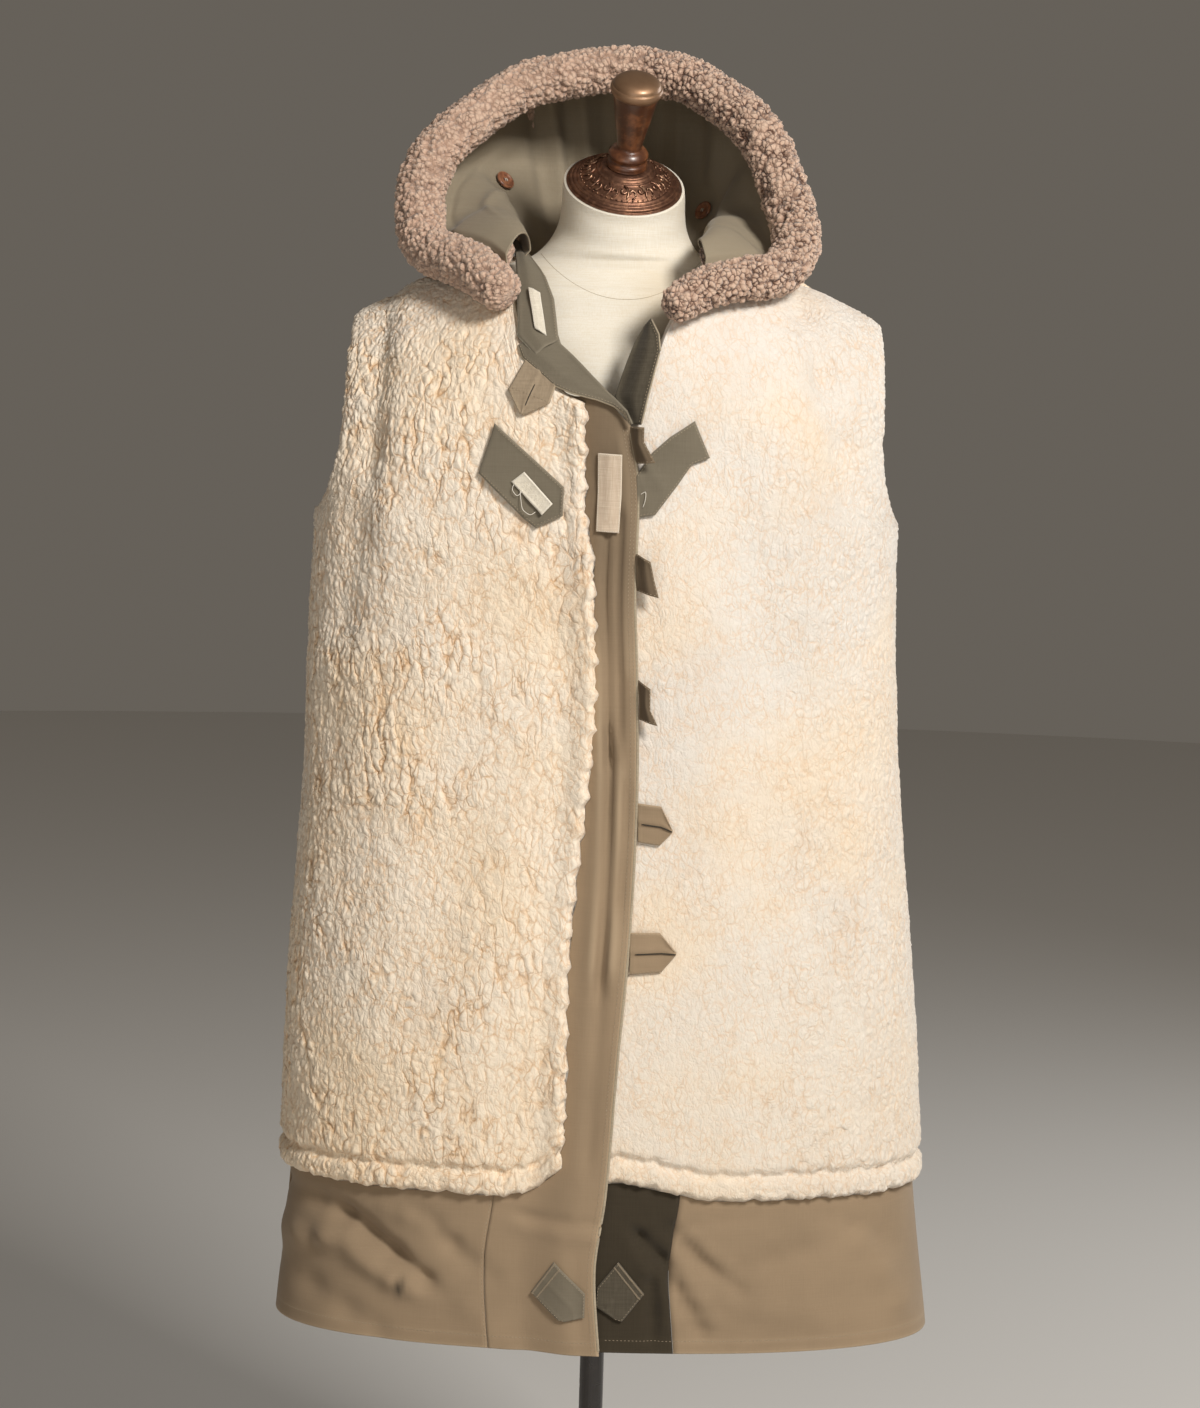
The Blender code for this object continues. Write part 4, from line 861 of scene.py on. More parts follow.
def wool_front(side):
    """One front's wool: a rounded free edge, a stitched groove over the hem and clumps all over."""
    wool = bpy.context.scene.coat_wool
    right = side < 0
    word = "right" if right else "left"
    near = stops((CLOSURE_RIGHT if right else CLOSURE_LEFT) / wool.pitch, COARSE)
    far = stops((PANEL_RIGHT if right else PANEL_LEFT) / wool.pitch, COARSE)
    start = (lambda z: EDGE.at(z).wool_inset + uneven(z, 0.0030)) if right else LEFT_START
    x, z, share, x_top = front_grid(side, near, start, RIGHT_SEAM if right else LEFT_SEAM, far,
                                    *wool_rows(wool.pitch))
    rise = (0.040 * np.clip((x + 0.088) / 0.062, 0, 1.2) ** 2 if right
            else 0.016 * smoothstep((0.115 - x) / 0.10))
    z = z + (rise + uneven(x, 0.0022)) * below(z, FLEECE_HEM_Z, FLEECE_HEM_Z + 0.13)
    from_hem = z - z[:1]
    rough = on_coat(x, z, False, 0.0)
    along = arc_lengths(rough)
    thick = round_off(along, 0.007) * round_off(from_hem, 0.008)
    thick = drawn_down(thick, rough, share, x_top, along[:, -1:] - along)
    bulge = 0.0020 * np.exp(-((along - 0.010) / 0.009) ** 2) if right else 0.0
    curly = 1 + 0.5 * np.exp(-((from_hem - 0.010) / 0.010) ** 2)
    curly = curly + 0.2 * np.exp(-(along / 0.016) ** 2)
    if not right:
        curly = curly * (0.42 + 0.58 * smoothstep((x - 0.17) / 0.07))
        curly = np.maximum(curly, 1.1 * np.exp(-((from_hem - 0.008) / 0.012) ** 2))
    place = on_right if right else on_left
    added = bulge - groove_at(from_hem) * np.minimum(along / 0.01, 1)
    clump, parting = (wool.clump, 1.0) if right else (wool.clump * 0.85, 0.55)
    cream, lines = (wool.cream_right, 0.68) if right else (wool.cream_left, 0.22)
    obj = raised_wool(f"wool_{word}_front", f"fleece_{word}_front", place, x, z, thick, added, curly, clump,
                      parting, cream, lines)


def wool_back():
    """The back's wool, with the same groove over its hem."""
    wool = bpy.context.scene.coat_wool
    pitch = wool.pitch * BACK_COARSER
    x, z, share, x_top = back_grid(stops(BACK_WIDTH / pitch, COARSE) * 2 - 1, *wool_rows(pitch))
    z = z + uneven(x, 0.0022) * below(z, FLEECE_HEM_Z, FLEECE_HEM_Z + 0.03)
    from_hem = z - FLEECE_HEM_Z
    rough = on_coat(x, z, True, 0.0)
    along = arc_lengths(rough)
    from_side = np.minimum(along, along[:, -1:] - along)
    thick = drawn_down(round_off(from_hem, 0.008), rough, share, x_top, from_side)
    curly = 1 + 0.55 * np.exp(-((from_hem - 0.010) / 0.010) ** 2)
    obj = raised_wool("wool_back", "fleece_back", on_back, x, z, thick, -groove_at(from_hem), curly,
                      wool.clump, 0.8, wool.cream_back, 0.6)


# ---------------------------------------------------------------- cloth
def cloth_finish(name, tone, worn, thread, slub=1.0, mottle=0.35, dirt=None):
    """Woven cotton: warp and weft in the bump, slubs, uneven fading and worn ridges."""
    finish = Finish(name, 0.88, Sheen_Weight=0.12, Sheen_Roughness=0.5, Specular_IOR_Level=0.22)
    n, at = finish.nodes, finish.here()
    warp = n.noise(n.scaled(at, 1.0, 1.0, 0.04), 0.55 / thread, 2.0, 0.6)
    weft = n.noise(n.scaled(at, 0.04, 0.04, 1.0), 0.55 / thread, 2.0, 0.6)
    grain = (warp + weft) * 0.5
    cloud = n.noise(at, 14.0, 4.0, 0.6)
    patch = n.smooth(n.noise(at, 5.0, 3.0, 0.55), 0.38, 0.68)
    shade = tuple(0.62 * c for c in tone)
    base = n.mix(patch * mottle + (cloud - 0.5) * 0.5, tone, shade)
    base = n.mix(((grain - 0.5) * 2.2 * slub + 0.15).clamped(), base, worn)
    wear = n.attribute("wear")
    base = n.mix((wear * (0.55 + cloud * 0.6)).clamped(), base, worn)
    # A darker mix, read from an attribute, paints real stains and painted shade.
    if dirt:
        base = n.mix(n.attribute("dirt") * 0.85, base, dirt)
    finish.set("Base Color", base)
    finish.set("Roughness", 0.80 + cloud * 0.16)
    finish.bump(grain * (0.4 + 0.6 * slub) + cloud * 0.6, 0.0007, 0.5)


def thread_finish(name, roughness, first, second):
    finish = Finish(name, roughness)
    finish.set("Base Color", finish.nodes.mix(finish.nodes.noise(finish.here(), 900.0), first, second))


def plain_finish(name, tone):
    Finish(name, 0.9).set("Base Color", tone)


def cloth_finishes():
    """Cloths and threads; the rows say a cloth's tone, worn tone, thread, slub, mottle and the darker tone
    that paints stains and shade.
    """
    cloth = bpy.context.scene.coat_cloth
    for row in [
            # The canvas's darkest colour paints a real stain and painted shade at the strip's top.
            ("canvas_tan", tuple(cloth.canvas), (0.46, 0.35, 0.23), 0.0007, 0.12, 0.45, (0.02, 0.017, 0.013)),
            # Olive canvas, darkened further as painted shade beside the strip.
            ("canvas_olive", tuple(cloth.olive), (0.085, 0.068, 0.042), 0.0007, 0.2),
            # Painted shade: a darker copy of the tan canvas, for the shaded faces of the upright tabs.
            ("canvas_soiled", (0.105, 0.074, 0.045), (0.24, 0.18, 0.115), 0.0007, 0.12),
            ("canvas_light", (0.32, 0.245, 0.165), (0.46, 0.37, 0.26), 0.0007, 0.6),
            ("canvas_binding", (0.36, 0.30, 0.21), (0.56, 0.48, 0.36), 0.0007),
            ("cotton_grey", tuple(cloth.cotton), (0.250, 0.218, 0.162), 0.0006, 0.3),
            # Painted shade: a darker copy of the grey cotton, for the collar's shaded inner face and the left
            # hem tab in shade.
            ("cotton_dark", (0.070, 0.058, 0.040), (0.150, 0.128, 0.092), 0.0006, 0.6),
            ("cotton_piping", (0.26, 0.235, 0.18), (0.40, 0.36, 0.28), 0.0006),
            ("cotton_lining", tuple(cloth.lining), (0.30, 0.26, 0.19), 0.0009, 0.8),
            ("tape_white", (0.66, 0.60, 0.49), (0.85, 0.80, 0.69), 0.0006),
            ("label_cream", (0.56, 0.44, 0.33), (0.72, 0.63, 0.50), 0.0006)]:
        cloth_finish(*row)
    thread_finish("thread_light", 0.8, (0.25, 0.195, 0.13), (0.42, 0.34, 0.24))
    thread_finish("thread_white", 0.75, (0.62, 0.57, 0.48), (0.86, 0.82, 0.74))
    # Painted shade for the slits of the buttonholes.
    plain_finish("slit_dark", (0.035, 0.028, 0.020))


def shell(name, x, z, place, finish, node, wear, dirt):
    """A canvas wall on the coat's form, from its grid of places; wear, and the darker mix for stains and
    painted shade: shares by place.
    """
    points, faces = wall(place(x, z, SHELL_THICK), place(x, z, 0.0))
    obj = piece(name, points, faces, finish, node)
    for layer, values in (("wear", wear), ("dirt", dirt)):
        store(obj.data, layer, np.tile(np.broadcast_to(values, x.shape).ravel(), 2))


def hem_levels(pitch):
    """Heights of the canvas: close together where it shows under the wool, wider behind it."""
    shown = HEM_Z + (0.600 - HEM_Z) * stops(0.170 / pitch)
    hidden = 0.600 + (SPLIT_Z - 0.600) * stops(0.600 / 0.012)
    return np.concatenate([[HEM_Z + 0.0006, HEM_Z + 0.0018], shown[1:], hidden[1:]])


def hem_wear(z):
    """Worn lower edge and stitch line of the canvas."""
    return np.exp(-((z - HEM_Z) / 0.0022) ** 2) * 0.8 + np.exp(-((z - HEM_Z - 0.0125) / 0.0020) ** 2) * 0.25


def stain(x, z):
    """A small dark mark on the right front's canvas."""
    return np.exp(-((x + 0.1835 - (z - 0.482) * 0.2) / 0.0042) ** 2 - ((z - 0.482) / 0.0095) ** 2)


FACING_PITCH = 0.0032
FRONT_PITCH = 0.0042
BACK_PITCH = 0.0058
SHOULDER_ROWS = 24
LEFT_FACING_START = -0.048    # where the left front's facing starts, under the right front


def canvas_front(side, low, rises):
    """Facing and shell of one front."""
    right = side < 0
    word, seam, start = ("right", RIGHT_SEAM, 0.0) if right else ("left", LEFT_SEAM, LEFT_FACING_START)
    near = stops((seam - start) / FACING_PITCH)
    x, z = front_grid(side, near, start, seam, stops(0.32 / FRONT_PITCH), low, rises)[:2]
    count = len(near)
    if right:
        under_lapel = 0.013 * np.exp(-((x[:, :count] + 0.014) / 0.019) ** 2)
        z[:, :count] += under_lapel * np.clip(1 - (z[-1:, :count] - z[:, :count]) / 0.03, 0, 1)
    zf = z[:, :count]
    facing = x[:, :count].copy()
    facing[:, -1] -= side * SEAM_GAP / 2
    edge = abs(x[:, :count] - edge_x(zf)) if right else np.full(facing.shape, 0.05)
    wear = np.exp(-(edge / 0.003) ** 2) * 0.9 + hem_wear(zf) * 0.6
    if right:
        wear = wear + np.maximum(strip_folds(x[:, :count], zf), 0) * 160
        # Painted shade: the strip's facing darkens towards its top, where the wool's thick edge shades it.
        shell("facing_right", facing, zf, lambda a, b, c: on_right(a, b, c + strip_folds(a, b)),
              "canvas_tan", "facing_right_front", wear,
              0.42 * smoothstep((zf - 1.05) / 0.14))
    else:
        shell("facing_left", facing, zf, on_left, "canvas_olive", "facing_left_front",
              wear, 0.0)
    panel = x[:, count - 1:].copy()
    panel[:, 0] += side * SEAM_GAP / 2
    zp = z[:, count - 1:]
    shell(f"canvas_{word}_front", panel, zp, on_right if right else on_left, "canvas_tan",
          f"shell_{word}_front", hem_wear(zp), stain(panel, zp) if right else 0.0)


def canvas_panels():
    """Shell and facings of both fronts, and the back."""
    low = hem_levels(FACING_PITCH)
    rises = rise_shares(SHOULDER_ROWS)
    canvas_front(-1, low, rises)
    canvas_front(1, low, rises)
    x, z = back_grid(stops(0.72 / BACK_PITCH) * 2 - 1, low, rises)[:2]
    shell("canvas_back", x, z, on_back, "canvas_tan", "shell_back", hem_wear(z), 0.0)


# Long soft folds of the front strip: distances from its edge in place of x.
STRIP_FOLDS = [Fold(*row) for row in [
    (0.024, 0.78, 0.026, 1.02, 0.0050, -0.0075), (0.026, 1.00, 0.027, 1.21, 0.0045, -0.0085),
    (0.0175, 1.02, 0.0165, 1.22, 0.0040, -0.0070), (0.0215, 1.00, 0.022, 1.20, 0.0035, 0.0030),
    (0.016, 0.80, 0.018, 0.98, 0.0060, 0.0045), (0.010, 1.08, 0.011, 1.29, 0.0050, 0.0026),
    (0.034, 0.80, 0.036, 1.10, 0.0060, 0.0035), (0.020, 0.62, 0.022, 0.78, 0.0070, -0.0035),
    (0.012, 0.86, 0.010, 0.97, 0.0040, -0.0035),
]]


def strip_folds(x, z):
    return fold_height(STRIP_FOLDS, edge_x(z) - x, z)


def refine(rows, per_row, across):
    """x, z and offset of a patch: rows of two ends, drawn straight between its corners."""
    rows = np.array(rows, dtype=float)
    at = np.concatenate([[0, 0.02], np.linspace(0, len(rows) - 1, per_row * (len(rows) - 1) + 1)[1:-1],
                         [len(rows) - 1.02, len(rows) - 1]])
    ends = np.stack([np.interp(at, np.arange(len(rows)), rows[:, k]) for k in range(rows.shape[1])], axis=-1)
    t = np.concatenate([[0, 0.02], np.linspace(0, 1, across + 1)[1:-1], [0.98, 1]])
    x = ends[:, 0:1] + (ends[:, 2:3] - ends[:, 0:1]) * t
    z = ends[:, 1:2] + (ends[:, 3:4] - ends[:, 1:2]) * t
    low, high = ends[:, 4:5], ends[:, 5:6]
    climb = np.where(low < high, smoothstep(t / 0.65), 1 - smoothstep((1 - t) / 0.65))
    return x, z, low + (high - low) * climb, at / at[-1], t


def from_border(points):
    """Distance of each grid point from the grid's nearest border."""
    along = arc_lengths(points)
    down = rise_lengths(points)
    return np.minimum(np.minimum(along, along[:, -1:] - along), np.minimum(down, down[-1:] - down))


THICK = {"canvas_tan": SHELL_THICK, "cotton_grey": COTTON_THICK, "tape_white": PATCH_THICK}


def patch(name, node, place, rows, finish, flat, per_row=8, across=12, shape=None):
    """A small cloth piece laid on a front, a little thicker where its edges are turned in. rows: x and z of
    two opposite points and their heights over the canvas's inner face; shape: more height by share."""
    thick = THICK[SLOTS.get(finish, finish)]
    x, z, offset, u, t = refine(rows, per_row, across)
    if shape:
        offset = offset + shape(u[:, None], t[None, :])
    base = place(x, z, offset)
    edge = from_border(base)
    seam = 0.0006 * np.exp(-((edge - 0.0016) / 0.0012) ** 2)
    raised = thick * (0.35 + 0.65 * round_off(edge, thick)) + seam
    points, faces = wall(place(x, z, offset + raised), base)
    obj = piece(name, points, faces, finish, node)
    wear = np.exp(-(edge / 0.0012) ** 2) * 0.8
    store(obj.data, "wear", np.concatenate([wear.ravel(), np.zeros(wear.size)]))
    return x, z, offset + raised, place


def over_patch(grid, rise):
    """Grid of points at a small height over a patch."""
    x, z, offset, place = grid
    return place(x, z, offset + rise)


def inset_line(grid, inset, sides="bltr"):
    """Lines on a patch at a distance from its border; sides: bottom, left, top, right as rows run."""
    surface = over_patch(grid, 0.0002)
    rows, columns = surface.shape[:2]
    width, depth = arc_lengths(surface), rise_lengths(surface)
    lines = []
    for side in [side for side in "btlr" if side in sides]:
        line = []
        if side in "bt":
            row = 0 if side == "b" else rows - 1
            level = np.full(columns, inset) if side == "b" else depth[-1] - inset
            ends = np.interp([inset, width[row, -1] - inset], width[row], np.arange(columns))
            first, last = np.clip(ends, 0, columns - 1)
            for c in range(columns):
                if first <= c <= last:
                    line.append(sample(surface, np.interp(level[c], depth[:, c], np.arange(rows)), c))
        else:
            end = 0 if side == "l" else -1
            for k in range(rows):
                level = inset if side == "l" else width[k, -1] - inset
                if inset <= depth[k, end] <= depth[-1, end] - inset:
                    line.append(sample(surface, k, np.interp(level, width[k], np.arange(columns))))
        if len(line) > 1:
            lines.append(line)
    return lines


def across_line(grid, share):
    """A line over a patch at a share of its length."""
    surface = over_patch(grid, 0.0003)
    rows, columns = surface.shape[:2]
    return [sample(surface, (rows - 1) * share, c) for c in np.linspace(0.6, columns - 1.6, 14)]


def zigzag(grid, first, last, count):
    """A line to and fro over a patch, along its length."""
    surface = over_patch(grid, 0.0003)
    rows, columns = surface.shape[:2]
    return [sample(surface, (rows - 1) * share, (columns - 1) * (0.30 if i % 2 else 0.70))
            for i, share in enumerate(np.linspace(first, last, count))]


def buttonhole(name, grid, share, first, last, radius):
    """A dark cord along a patch, at a share of its width: painted shade for the buttonhole's opening."""
    surface = over_patch(grid, 0.0003)
    column = (surface.shape[1] - 1) * share
    line = [sample(surface, k, column) for k in range(first, len(surface) - last)]
    tube(name, line, radius, "slit_dark", sides=6)


def piping(name, grid, column, finish):
    """A cord sewn along one long side of a patch."""
    x, z, offset, place = grid
    line = place(x[1:-1, column], z[1:-1, column], offset[1:-1, column] - 0.0004)
    tube(name, line, 0.0010, finish)


def loose_thread(name, place, corners, offset):
    """A thread that hangs free between two places where it is held."""
    at = np.linspace(0, len(corners) - 1, 8 * (len(corners) - 1) + 1)
    line = smooth_rows(np.array(corners), at)
    lifted = offset + 0.0012 * np.sin(np.linspace(0, math.pi, len(at)))
    tube(name, place(line[:, 0], line[:, 1], lifted), 0.00032, "thread_white", sides=6)


def sample(surface, r, c):
    """Point of a grid at a fractional row and column."""
    rows, columns = surface.shape[:2]
    i, j = min(int(r), rows - 2), min(int(c), columns - 2)
    a, b = r - i, c - j
    top = surface[i, j] * (1 - b) + surface[i, j + 1] * b
    low = surface[i + 1, j] * (1 - b) + surface[i + 1, j + 1] * b
    return top * (1 - a) + low * a


def stitch_tree(name, axis):
    """Places a small rounded stitch at every pitch along the edges of a mesh; axis: the one of the stitch's
    own axes that is laid along them."""
    tree, nodes, given, leave = geometry_tree(name, {
        "Pitch": "NodeSocketFloat", "Length": "NodeSocketFloat", "Radius": "NodeSocketFloat",
        "Finish": "NodeSocketMaterial"})
    line = nodes.add("GeometryNodeMeshToCurve", 0, {"Mesh": given["Geometry"]})
    line = nodes.add("GeometryNodeResampleCurve", 0, {"Curve": line, "Length": given["Pitch"]}, mode="LENGTH")
    tangent = nodes.add("GeometryNodeInputTangent")
    turn = nodes.add("FunctionNodeAlignRotationToVector", 0, {"Vector": tangent}, axis=axis)
    bead = nodes.add("GeometryNodeMeshUVSphere", 0, {"Segments": 6, "Rings": 4, "Radius": 1.0})
    size = nodes.add("ShaderNodeCombineXYZ", 0,
                     {0: given["Radius"], 1: given["Radius"], 2: given["Length"] / 2.0})
    beads = nodes.add("GeometryNodeInstanceOnPoints", 0,
                      {"Points": line, "Instance": bead, "Rotation": turn, "Scale": size})
    mesh = nodes.add("GeometryNodeRealizeInstances", 0, {"Geometry": beads})
    mesh = nodes.add("GeometryNodeSetMaterial", 0, {"Geometry": mesh, "Material": given["Finish"]})
    tree.links.new(mesh.socket, leave)


def stitches(name, lines, finish, pitch, size=0.0020, radius=0.00032, crossways=False):
    """Rows of stitches along lines, joined in one piece."""
    points, edges = [], []
    for line in lines:
        first = len(points)
        points += [tuple(p) for p in line]
        edges += [(first + i, first + i + 1) for i in range(len(line) - 1)]
    mesh = bpy.data.meshes.new(name)
    mesh.from_pydata(points, edges, [])
    made = run_tree(mesh, bpy.data.node_groups["whip stitches" if crossways else "stitches"],
                    {"Pitch": pitch, "Length": size, "Radius": radius, "Finish": FINISHES[finish]})
    placed(name, made, finish)


def tube(name, path, radius, finish, sides=8):
    """A round cord along a path of points, thinner at its two ends."""
    path = np.asarray(path, dtype=float)
    radii = np.full(len(path), float(radius))
    radii[[0, -1]] *= 0.3
    along = unit(np.gradient(path, axis=0))
    across = unit(np.cross(along, np.array([0.13, 0.2, 0.97])))
    other = np.cross(along, across)
    turn = np.linspace(0, 2 * math.pi, sides, endpoint=False)
    spoke = across[:, None] * np.cos(turn)[:, None] + other[:, None] * np.sin(turn)[:, None]
    points = (path[:, None] + spoke * radii[:, None, None]).reshape(-1, 3)
    piece(name, points, ring_faces(len(path), sides), finish)


def level_rows(height, corners):
    """Rows of a patch whose two long sides lie at one height."""
    return [(*row, height, height) for row in corners]


def edge_lines(lines):
    """Binding and stitch lines along the right front's edge, the hems and the strip's seam."""
    height = np.linspace(HEM_Z + 0.003, 1.300, 260)
    for inset in (0.0035, 0.0068):
        x = edge_x(height) - inset
        lines["canvas"].append(on_right(x, height, SHELL_THICK + 0.0002 + strip_folds(x, height)))
    bound = on_right(edge_x(height) - 0.0006, height, SHELL_THICK * 0.55)
    tube("edge_binding", bound, 0.00145, "canvas_binding")
    for place, x in ((on_right, np.linspace(-0.300, 0.004, 160)), (on_left, np.linspace(0.012, 0.312, 160))):
        lines["canvas"].append(place(x, np.full(len(x), HEM_Z + 0.0125), SHELL_THICK + 0.0002))
    seam = np.linspace(HEM_Z + 0.002, 0.590, 60)
    lines["canvas"].append(on_right(edge_x(seam) - RIGHT_SEAM - 0.0022, seam, SHELL_THICK + 0.0001))


def button_tabs(lines):
    """Five pointed tabs under the right front's edge: three stand up, two lie flat."""
    upright = [
        (0.0107, 1.3049, 0.0233, 1.3043), (0.0129, 1.2882, 0.0236, 1.2904), (0.0170, 1.2698, 0.0340, 1.2712),
        (0.0183, 1.1889, 0.0319, 1.1820), (0.0196, 1.1716, 0.0360, 1.1647), (0.0201, 1.1542, 0.0400, 1.1491),
        (0.0242, 1.0710, 0.0352, 1.0638), (0.0256, 1.0525, 0.0358, 1.0434), (0.0262, 1.0338, 0.0425, 1.0295)]
    for number, corners in enumerate((upright[:3], upright[3:6], upright[6:]), start=1):
        rows = [(*row, ON_FLEECE + 0.0010, ON_FLEECE + 0.0150) for row in corners]
        # Painted shade: the upright tabs take the darker copy of the canvas.
        grid = patch(f"front_tab_{number}_cloth", f"front_tab_{number}", on_left, rows, "canvas_soiled",
                     (0.024, 0.038), shape=lambda u, t: 0.0035 * np.sin(math.pi * u) * np.cos(math.pi * t))
        lines["canvas"] += inset_line(grid, 0.0022, "btr")

    def lip(u, t):
        return (0.0014 * np.exp(-((t - 0.44) / 0.10) ** 2) - 0.0006 * np.exp(-((t - 0.58) / 0.08) ** 2)
                + 0.0008 * np.sin(9 * u) * (1 - t))

    lying = [
        (0.0272, 0.9556, 0.0283, 0.9188), (0.0490, 0.9528, 0.0485, 0.9159), (0.0599, 0.9308, 0.0595, 0.9279),
        (0.0233, 0.8335, 0.0244, 0.7941), (0.0513, 0.8336, 0.0535, 0.7970), (0.0667, 0.8155, 0.0663, 0.8127)]
    for number, corners in enumerate((lying[:3], lying[3:]), start=4):
        grid = patch(f"front_tab_{number}_cloth", f"front_tab_{number}", on_left,
                     level_rows(ON_FLEECE + 0.0012, corners), "canvas_tan", (0.036, 0.038),
                     per_row=12, across=20, shape=lip)
        lines["canvas"] += inset_line(grid, 0.0022, "lr")
        buttonhole(f"buttonhole_{number}", grid, 0.52, 3, 1, 0.0007)


def chest_pieces(lines):
    """Straps at the chest, the white patch on one of them, and the bare label on the strip."""
    rows = level_rows(ON_FLEECE + 0.0018, [
        (-0.1106, 1.3031, -0.1243, 1.2569), (-0.0474, 1.2467, -0.0818, 1.2154),
        (-0.0477, 1.2202, -0.0718, 1.2085)])
    grid = patch("chest_strap_right_cloth", "chest_strap_right", on_right, rows, "cotton_grey",
                 (0.046, 0.082), per_row=14, across=20,
                 shape=lambda u, t: 0.0016 * np.sin(2 * math.pi * u + 0.5) * (0.4 + 0.6 * t))
    lines["cotton"] += inset_line(grid, 0.0030, "lrt")
    over = ON_FLEECE + COTTON_THICK + 0.0018 + SEAM_GAP
    rows = level_rows(over, [(-0.0830, 1.2596, -0.0944, 1.2500), (-0.0569, 1.2310, -0.0664, 1.2204)])
    grid = patch("chest_patch_cloth", "chest_patch", on_right, rows, "tape_white", (0.0155, 0.038),
                 per_row=18, shape=lambda u, t: 0.0013 + 0.0006 * np.sin(14 * u))
    lines["tape"] += inset_line(grid, 0.0018) + [zigzag(grid, 0.18, 0.82, 15)]
    loop = [(-0.0912, 1.2492), (-0.0930, 1.2430), (-0.0885, 1.2375), (-0.0838, 1.2428)]
    loose_thread("loose_thread_a", on_right, loop, over + 0.0022)
    loop = [(-0.0862, 1.2425), (-0.0852, 1.2335), (-0.0832, 1.2250), (-0.0768, 1.2206), (-0.0722, 1.2232)]
    loose_thread("loose_thread_b", on_right, loop, over + 0.0022)
    over = ON_FLEECE + 0.0012
    rows = level_rows(over, [
        (0.0692, 1.3109, 0.0837, 1.2770), (0.0471, 1.2956, 0.0677, 1.2701), (0.0322, 1.2812, 0.0556, 1.2514),
        (0.0209, 1.2643, 0.0356, 1.2234), (0.0175, 1.2586, 0.0190, 1.2202)])
    grid = patch("chest_strap_left_cloth", "chest_strap_left", on_left, rows, "cotton_grey", (0.036, 0.080),
                 across=16,
                 shape=lambda u, t: 0.0010 * np.sin(9 * u + t) + 0.0012 * np.exp(-((u - 0.62) / 0.05) ** 2))
    lines["cotton"] += inset_line(grid, 0.0026, "lrb")
    loop = [(0.0222, 1.2420), (0.0262, 1.2440), (0.0262, 1.2370), (0.0242, 1.2300)]
    loose_thread("loose_thread_c", on_left, loop, over + 0.0030)
    rows = level_rows(ON_SHELL, [
        (-0.0176, 1.2790, 0.0045, 1.2780), (-0.0170, 1.2430, 0.0050, 1.2425),
        (-0.0176, 1.2070, 0.0035, 1.2060)])

    def on_strip(x, z, offset):
        return on_right(x, z, offset + strip_folds(x, z) * 0.3)

    def waves(u, t):
        return 0.0022 + 0.0006 * np.sin(9 * u + 2 * t) - 0.0008 * np.cos(2 * math.pi * t)

    grid = patch("label_cloth", "label_patch", on_strip, rows, "label_cream", (0.021, 0.072),
                 per_row=20, shape=waves)
    lines["tape"] += inset_line(grid, 0.0014)


def hem_tabs(lines):
    """Folded tabs on the canvas, on both sides of the closure."""
    rows = level_rows(ON_SHELL + 0.0014, [
        (-0.0594, 0.4878, -0.0383, 0.5195), (-0.0330, 0.4640, -0.0085, 0.4908),
        (-0.0278, 0.4630, -0.0086, 0.4677)])
    right = patch("hem_tab_right_cloth", "hem_tab_right", on_right, rows, "cotton_grey", (0.038, 0.040),
                  per_row=12, across=18,
                  shape=lambda u, t: 0.0006 * np.exp(-((t - 0.5) / 0.06) ** 2) + 0.0006 * np.sin(6 * u))
    rows = level_rows(ON_SHELL, [
        (0.0471, 0.4884, 0.0219, 0.5187), (0.0266, 0.4612, 0.0022, 0.4934), (0.0195, 0.4638, 0.0015, 0.4753)])
    # Painted shade: this tab takes the darker copy of the cotton.
    left = patch("hem_tab_left_cloth", "hem_tab_left", on_left, rows, "cotton_dark", (0.038, 0.040),
                 per_row=12, across=18,
                 shape=lambda u, t: 0.0014 + 0.0006 * np.exp(-((t - 0.5) / 0.06) ** 2))
    for grid in (right, left):
        lines["cotton"] += inset_line(grid, 0.0022, "lr")
        lines["whip"] += [across_line(grid, 0.05), across_line(grid, 0.13)]


